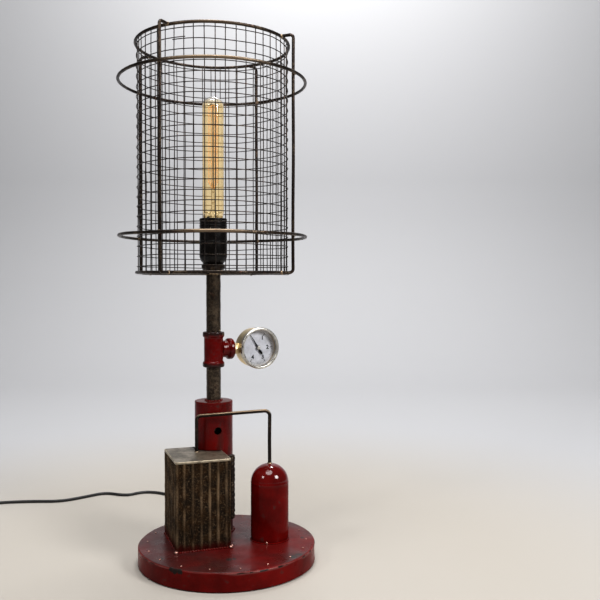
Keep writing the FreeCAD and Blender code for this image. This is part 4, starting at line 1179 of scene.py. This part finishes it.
def ribbed_form():
    """The folded sheet with its rounded ribs, hammered, and cut away round the sleeve."""
    low, high = DRUM_TOP, BOX_HIGH.z - PLATE
    corner, depth = 0.0020, 0.0028
    points = []
    crests = []
    notched = []
    for start, along, reach, ribs in box_wall_ribs():
        out = Vector((along.y, -along.x))
        steps = int(reach / 0.0009)
        for k in range(steps + 1):
            x = corner + (reach - 2 * corner) * k / steps
            crest = max(math.exp(-((x - rib) / 0.0026) ** 2) for rib in ribs)
            point = start + along * x - out * (depth * (1 - crest))
            if (point - PIPE.to_2d()).length > SLEEVE_CUT:
                points.append(point)
                crests.append(crest)
            elif not notched:
                notched = sleeve_notch(BOX_HIGH.x - depth, BOX_HIGH.y - depth)
                points += notched
                crests += [0.0] * len(notched)
    levels = 46
    form = bmesh.new()
    layer = form.verts.layers.float.new("crest")
    rows = []
    for level in range(levels + 1):
        z = low + (high - low) * level / levels
        middle = Vector(((BOX_LOW.x + BOX_HIGH.x) / 2, (BOX_LOW.y + BOX_HIGH.y) / 2, z))
        row = []
        for point, crest in zip(points, crests):
            place = Vector((point.x, point.y, z))
            hammer = noise.fractal(Vector((place.x * 170, place.y * 170, z * 70)), 1.0, 2.0, 3)
            vert = form.verts.new(place + (middle - place).normalized() * (0.0005 + 0.0006 * hammer))
            vert[layer] = crest * (0.75 + 0.5 * noise.noise(place * 60))
            row.append(vert)
        rows.append(row)
    return skinned(form, rows)


class PIPELAMP_OT_box(bpy.types.Operator):
    """Makes the ribbed box, its pale top plate, the rough bar and their welds"""

    bl_idname = "pipelamp.box"
    bl_label = "Ribbed box"

    def execute(self, context):
        piece_of("ribbed_sheet", ribbed_form(), "ribbed_bronze", "ribbed_wrap", "box_core", sharp=75)
        piece_of("box_lid", plate_form(), "pale_bronze_plate", "box_top_plate", rub=True)
        bottom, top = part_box("side_bar")
        middle = (bottom + top) / 2
        step, lump = 0.0008, 0.0066

        def lumpy(ring):
            return 0.86 + 0.14 * abs(math.sin(ring * step * math.pi / lump))

        path = spaced([Vector((middle.x, middle.y, end.z)) for end in (bottom, top)], step)
        bar = sheathed(path, 0.0043, 20, swell=lumpy)
        piece_of("rough_bar", roughened(bar, 0.0005, 330), "bar_iron", "side_bar", sharp=60)
        left, right, front, back = BOX_LOW.x, BOX_HIGH.x, BOX_LOW.y, BOX_HIGH.y
        corners = (
            (left + 0.002, front + 0.001), (right - 0.002, front + 0.001), (right - 0.001, back - 0.002),
            (left + 0.001, back - 0.002), (left + 0.002, front + 0.001),
        )
        ring = spaced([Vector((x, y, DRUM_TOP)) for x, y in corners], 0.0034)
        piece_of("box_foot_weld", weld_run(ring, 0.0021, 9.0), "sleeve_paint")
        spatter = [
            bead(Vector((x, y, DRUM_TOP + 0.001)), size, 0.8, seed)
            for x, y, size, seed in (
                (left + 0.0005, front - 0.0005, 0.0026, 1),
                (right - 0.001, front - 0.0005, 0.0024, 2),
                (right + 0.001, front + 0.004, 0.0020, 3),
            )
        ]
        piece_of("box_corner_welds", joined(spatter), "stud_metal")
        return {"FINISHED"}


def sleeve_notch(right, back, ragged=0.0):
    """Points of the cut round the sleeve, from the box's right wall to its back wall."""
    aside, behind = right - PIPE.x, back - PIPE.y
    start = math.atan2(-math.sqrt(SLEEVE_CUT ** 2 - aside ** 2), aside)
    end = math.atan2(behind, -math.sqrt(SLEEVE_CUT ** 2 - behind ** 2)) - 2 * math.pi
    points = []
    for k in range(41):
        reach = SLEEVE_CUT * (1 + ragged * abs(noise.noise(Vector((k * 0.9, 0, 4)))))
        points.append((PIPE + around(start + (end - start) * k / 40, reach)).to_2d())
    return points


def plate_form():
    """The thick lid, notched round the sleeve and with soft corners."""
    left, right, front, back = BOX_LOW.x, BOX_HIGH.x, BOX_LOW.y, BOX_HIGH.y
    ease = 0.004

    def corner(x, y, first):
        return [Vector((x, y)) + around(math.radians(first + 15 * k), ease).to_2d() for k in range(7)]

    outline = corner(right - ease, front + ease, -90) + sleeve_notch(right, back, 0.02)
    outline += corner(left + ease, back - ease, 90) + corner(left + ease, front + ease, 180)
    path = []
    for here, after in zip(outline, outline[1:] + outline[:1]):
        parts = max(1, int((after - here).length / 0.002))
        path += [here.lerp(after, k / parts) for k in range(parts)]
    form = bmesh.new()
    face = form.faces.new([form.verts.new((p.x, p.y, BOX_HIGH.z - PLATE)) for p in path])
    raised(form, [face], PLATE)
    form.normal_update()
    edges = []
    for edge in form.edges:
        low, high = edge.verts
        if edge.calc_face_angle(0) > 1.0 and abs(low.co.z - high.co.z) < 1e-6:
            edges.append(edge)
    bmesh.ops.bevel(form, geom=edges, offset=0.0009, segments=3, profile=0.5, affect="EDGES")
    flats = [face for face in form.faces if len(face.verts) > 12]
    bmesh.ops.inset_individual(form, faces=flats, thickness=0.0012)
    bmesh.ops.triangulate(form, faces=[face for face in form.faces if len(face.verts) > 4])
    return form


# Gas bottle and link rod

class PIPELAMP_OT_bottle(bpy.types.Operator):
    """Makes the gas bottle with its dome seam, and the thin link rod"""

    bl_idname = "pipelamp.bottle"
    bl_label = "Gas bottle and link rod"

    def execute(self, context):
        low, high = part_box("gas_bottle")
        centre = Vector(((low.x + high.x) / 2, (low.y + high.y) / 2, 0))
        radius = (high.x - low.x) / 2
        shoulder = 0.0975
        profile = [(0, low.z), (radius - 0.0006, low.z), (radius, low.z + 0.0008)]
        profile += [(radius, low.z + (shoulder - low.z) * k / 12) for k in range(1, 12)]
        profile += [
            (radius, shoulder - 0.0015), (radius + 0.0002, shoulder - 0.0007),
            (radius + 0.0002, shoulder + 0.0002), (radius - 0.0002, shoulder + 0.0010),
        ]
        for k in range(2, 24):
            a = math.pi / 2 * k / 24
            profile.append((radius * math.cos(a), shoulder + (high.z - shoulder) * math.sin(a)))
        profile.append((0, high.z))
        form = moved(turned(profile, 96), Matrix.Translation(centre))
        piece_of("gas_cylinder", form, "bottle_paint", "gas_bottle", rub=True)
        seat = sheathed(circle(radius + 0.0001, low.z + 0.0002, 120, centre, 0.0002), 0.0007, 8, True)
        piece_of("cylinder_foot_weld", seat, "bottle_paint")
        fleck = bead(centre + Vector((-0.0105, -0.0223, low.z + 0.001)), 0.0015, 1.3, 4)
        piece_of("cylinder_weld_fleck", fleck, "stud_metal")
        foot = Vector((-0.034, 0.025, BOX_HIGH.z - 0.0005))
        head = Vector((centre.x, centre.y, high.z - 0.0008))
        route = bent([foot, foot + UP * 0.0465, head + UP * 0.0688, head], 0.0062, 8)
        rod = sheathed(wavering(spaced(route, 0.004), 22, 0.0004), 0.0023, 16)
        piece_of("link_bar", rod, "link_bronze", "link_rod")
        welds = [bead(head, 0.0036, 0.7, 3), bead(foot, 0.0034, 0.7, 8)]
        piece_of("link_welds", joined(welds), "weld_metal")
        return {"FINISHED"}


# Cage

class PIPELAMP_OT_cage(bpy.types.Operator):
    """Makes the cage's rings, guard hoops, brackets, cross arms and welds"""

    bl_idname = "pipelamp.cage"
    bl_label = "Cage frame"

    def execute(self, context):
        sizes = context.scene.lamp_sizes
        rod, ring = sizes.rod_radius, sizes.cage_radius
        for name, node, radius, height in (
            ("bottom_ring", "cage_bottom_ring", ring, CAGE_FOOT),
            ("top_ring", "cage_top_ring", ring, CAGE_TOP),
            ("lower_guard_hoop", "cage_lower_hoop", sizes.hoop_radius, LOWER_HOOP),
            ("upper_guard_hoop", "cage_upper_hoop", sizes.hoop_radius, UPPER_HOOP),
        ):
            points = circle(radius, height, 160, waver=0.0008, seed=height * 9)
            piece_of(name, sheathed(points, rod, 14, True), "rod_bronze", node)
        welds = []
        sides = (("front_left", 225), ("front_right", 315), ("back_right", 45), ("back_left", 135))
        for name, angle in sides:
            out = around(math.radians(angle))
            near, far = PIPE + out * (ring + rod * 0.6), PIPE + out * 0.118
            top, foot = UP * CAGE_TOP, UP * CAGE_FOOT
            corners = [near + top, far + top, far + foot, near + foot]
            path = wavering(spaced(bent(corners, 0.0048, 7), 0.006), 9, 0.0007)
            piece_of("bracket_" + name, sheathed(path, rod, 14), "rod_bronze", "cage_bracket_" + name)
            for reach, height, seed in (
                (ring + 0.002, CAGE_FOOT, 0), (ring + 0.002, CAGE_TOP, 0),
                (0.1200, LOWER_HOOP, angle), (0.1200, UPPER_HOOP, angle),
            ):
                welds.append(bead(PIPE + out * reach + UP * height, 0.0030, 0.9, height + seed))
        piece_of("cage_welds", joined(welds), "weld_metal")
        arms = []
        for k in range(4):
            out = around(math.radians(45 + 90 * k))
            arm = spaced([PIPE + out * reach + UP * CAGE_FOOT for reach in (0.0092, 0.0985)], 0.006)
            arms.append(sheathed(arm, rod, 14))
        piece_of("cross_arms", joined(arms), "rod_bronze", "cage_cross")
        hub = []
        for k, a in enumerate(even_angles(14)):
            lift = 0.0024 * noise.noise(Vector((k * 1.1, 0, 0)))
            hub.append(PIPE + around(a, 0.0102, CAGE_FOOT + lift))
        piece_of("cross_weld", weld_run(hub, 0.0029, 3.0, 1.0), "weld_metal")
        return {"FINISHED"}


class PIPELAMP_OT_mesh(bpy.types.Operator):
    """Makes the welded wire mesh, slightly uneven, with its lapped seam"""

    bl_idname = "pipelamp.mesh"
    bl_label = "Wire mesh"

    def execute(self, context):
        sizes = context.scene.lamp_sizes
        wire = sizes.wire_radius
        count = sizes.upright_count
        uprights = []
        for k in range(count):
            a = 2 * math.pi * (k + 0.5 + 0.10 * noise.noise(Vector((k * 1.7, 0, 0)))) / count
            path = []
            for step in range(25):
                z = CAGE_FOOT + (CAGE_TOP - CAGE_FOOT) * step / 24
                lean = a + 0.006 * noise.noise(Vector((k * 2.3, z * 14, 1)))
                reach = sizes.mesh_radius + 0.0006 * noise.noise(Vector((k * 1.1, z * 30, 5)))
                path.append(PIPE + around(lean, reach, z))
            uprights.append(sheathed(path, wire, 7))
        piece_of("upright_wires", joined(uprights), "wire_bronze", "mesh_uprights")
        rows = []
        first = CAGE_TOP - 0.0056
        total = int((first - CAGE_FOOT - 0.004) / sizes.mesh_pitch) + 1
        seam = math.radians(228)
        for k in range(total):
            cells, spread = (1.3, 0.0022) if k == 1 else (0.15, 0.0)
            path = []
            for step in range(98):
                part = step / 97
                a = seam + 2 * math.pi * (1 + cells / count) * part
                sag = 0.0014 * noise.noise(around(a, 1.6, k * 0.35))
                reach = sizes.mesh_radius + wire * (1.8 + 0.5 * part)
                height = first - k * sizes.mesh_pitch + sag + spread * (part - 0.5)
                path.append(PIPE + around(a, reach, height))
            rows.append(sheathed(path, wire, 7))
        piece_of("level_wires", joined(rows), "wire_bronze", "mesh_rows")
        return {"FINISHED"}


# Lamp holder and bulb

class PIPELAMP_OT_holder(bpy.types.Operator):
    """Makes the black lamp holder with its ring, cap and skirt"""

    bl_idname = "pipelamp.holder"
    bl_label = "Lamp holder"

    def execute(self, context):
        ring = lathed([
            (3.4, 359.0), (7.45, 359.0), (7.45, 370.1, 0.1), (13.6, 370.1, 0.8), (15.6, 372.5, 1.2),
            (15.6, 376.5, 1.2), (13.6, 378.0, 0.6), (5.0, 378.0, 0.1), (5.0, 386.0), (3.4, 386.0),
        ], 72)
        piece_of("holder_collar", at_pipe(ring), "rod_bronze", "holder_ring")
        cap = lathed([
            (5.05, 378.0), (12.6, 378.0, 0.8), (16.6, 382.5, 2.5), (18.2, 387.5, 2.5), (18.2, 407.8, 0.5),
            (16.2, 408.0), (16.2, 401.0), (14.0, 401.0), (14.0, 387.0), (5.05, 381.0),
        ], 96, 0.3, 5)
        piece_of("holder_shell", at_pipe(cap), "bakelite", "holder_cap")
        outline = [(14.8, 408.0, 0.3), (17.9, 408.0, 0.4), (18.2, 409.4, 0.5)]
        for k in range(3):
            z = 425.5 + 3.6 * k
            outline += [(18.2, z, 0.3), (17.7, z + 0.5, 0.3), (17.7, z + 1.0, 0.3), (18.2, z + 1.5, 0.3)]
        outline += [(18.2, 438.0, 0.8), (14.8, 438.0, 0.6)]
        piece_of("holder_sleeve", at_pipe(lathed(outline, 96, 0.3, 3)), "bakelite", "holder_skirt")
        latch = bead(PIPE + Vector((-0.0095, -0.0130, 0.4382)), 0.0019, 0.8, 2)
        piece_of("holder_latch", latch, "bakelite")
        return {"FINISHED"}


class PIPELAMP_OT_bulb(bpy.types.Operator):
    """Makes the tubular bulb with its screw cap, amber glass, stem and filament"""

    bl_idname = "pipelamp.bulb"
    bl_label = "Bulb"

    def execute(self, context):
        tip = lathed([(0, 413.3), (4.5, 413.3, 0.5), (4.5, 414.5, 0.2), (0, 414.5)], 48, 0.2)
        piece_of("cap_contact", at_pipe(tip), "cap_metal", "bulb_tip", body="bulb_foot")
        outline = [(0, 414.8), (6.0, 414.8, 0.4), (12.3, 417.8, 0.6)]
        for k in range(5):
            z = 419.5 + 3.6 * k
            outline += [(12.4, z, 0.8), (13.2, z + 1.8, 0.9)]
        outline += [(12.4, 437.2, 0.5), (12.8, 438.3, 0.3), (0, 438.3)]
        piece_of("screw_cap", at_pipe(lathed(outline, 72)), "cap_metal", "bulb_cap", body="bulb")
        glass = lathed([
            (10.8, 438.3), (12.8, 438.3), (13.0, 441.0, 3.0), (14.2, 447.0, 6.0), (14.2, 585.5, 8.0),
            (12.6, 592.5, 6.0), (8.0, 597.0, 6.0), (0, 598.5),
            (0, 597.7), (7.6, 596.2, 6.0), (11.9, 592.0, 6.0), (13.4, 585.3, 8.0), (13.4, 447.1, 6.0),
            (12.1, 441.0, 3.0),
        ], 96, 0.3, 6)
        piece_of("tube_glass", at_pipe(glass), "amber_glass", "bulb_glass", body="bulb")
        stem = lathed([
            (0, 438.3), (7.0, 438.3, 0.5), (5.0, 446.0, 4.0), (2.2, 454.0, 4.0), (1.7, 480.3, 0.6),
            (0, 480.6),
        ], 48, 0.4, 5)
        piece_of("stem_glass", at_pipe(stem), "stem_glass", "bulb_stem", body="bulb")
        rod = sheathed(spaced([UP * 0.4780, UP * 0.5890], 0.01), 0.0009, 10)
        eyes = [bead(Vector((side, 0, 0.5885)), 0.0010, 1, side) for side in (-0.0032, 0.0034)]
        piece_of("filament_support", at_pipe(joined([rod, *eyes])), "support_wire", body="bulb")
        wires = []
        for a in even_angles(6):
            out = around(a)
            corners = ((0.0012, 0.4776), (0.0062, 0.4860), (0.0062, 0.5840), (0.0006, 0.5880))
            wire = spaced(bent([out * reach + UP * height for reach, height in corners], 0.002, 5), 0.0016)
            crimped = [p + out * 0.0006 * math.sin(k * 2.1) for k, p in enumerate(wire)]
            wires.append(sheathed(crimped, 0.00028, 6))
        piece_of("filament_cage", at_pipe(joined(wires)), "filament_wire", "bulb_filament", body="bulb")
        return {"FINISHED"}


class PIPELAMP_OT_inner(bpy.types.Operator):
    """Gives the hidden CAD pieces their finishes"""

    bl_idname = "pipelamp.inner"
    bl_label = "Inner pieces"

    def execute(self, context):
        for node, name in (
            ("base_cover", "felt_pad"),
            ("base_posts", "inner_steel"),
            ("sleeve_guide", "inner_steel"),
            ("gauge_movement", "contact_brass"),
            ("holder_insulator", "porcelain"),
            ("holder_contact", "contact_brass"),
            ("screw_shell", "contact_brass"),
            ("lead_inner", "lead_sheath"),
        ):
            materials = frame["nodes"][node].data.materials
            materials.clear()
            materials.append(finish_of(name)[1])
        return {"FINISHED"}


class PIPELAMP_PT_panel(bpy.types.Panel):
    """Lists the lamp's makers, sizes and colours"""

    bl_label = "Pipe lamp"
    bl_idname = "PIPELAMP_PT_panel"
    bl_space_type = "VIEW_3D"
    bl_region_type = "UI"
    bl_category = "Pipe lamp"

    def draw(self, context):
        column = self.layout.column(align=True)
        for maker in MAKERS:
            column.operator(maker.bl_idname)
        for group in (context.scene.lamp_sizes, context.scene.lamp_finishes):
            box = self.layout.box()
            for name in group.__annotations__:
                box.prop(group, name)


MAKERS = (
    PIPELAMP_OT_stage,
    PIPELAMP_OT_lead,
    PIPELAMP_OT_drum,
    PIPELAMP_OT_column,
    PIPELAMP_OT_tee,
    PIPELAMP_OT_gauge,
    PIPELAMP_OT_box,
    PIPELAMP_OT_bottle,
    PIPELAMP_OT_cage,
    PIPELAMP_OT_mesh,
    PIPELAMP_OT_holder,
    PIPELAMP_OT_bulb,
    PIPELAMP_OT_inner,
)
CLASSES = (LampSizes, LampFinishes, *MAKERS, PIPELAMP_PT_panel)


def register():
    for item in CLASSES:
        bpy.utils.register_class(item)
    bpy.types.Scene.lamp_sizes = PointerProperty(type=LampSizes)
    bpy.types.Scene.lamp_finishes = PointerProperty(type=LampFinishes)


def unregister():
    del bpy.types.Scene.lamp_finishes
    del bpy.types.Scene.lamp_sizes
    for item in reversed(CLASSES):
        bpy.utils.unregister_class(item)


def main():
    register()
    for maker in MAKERS:
        group, name = maker.bl_idname.split(".")
        getattr(getattr(bpy.ops, group), name)()


if __name__ == "__main__":
    main()
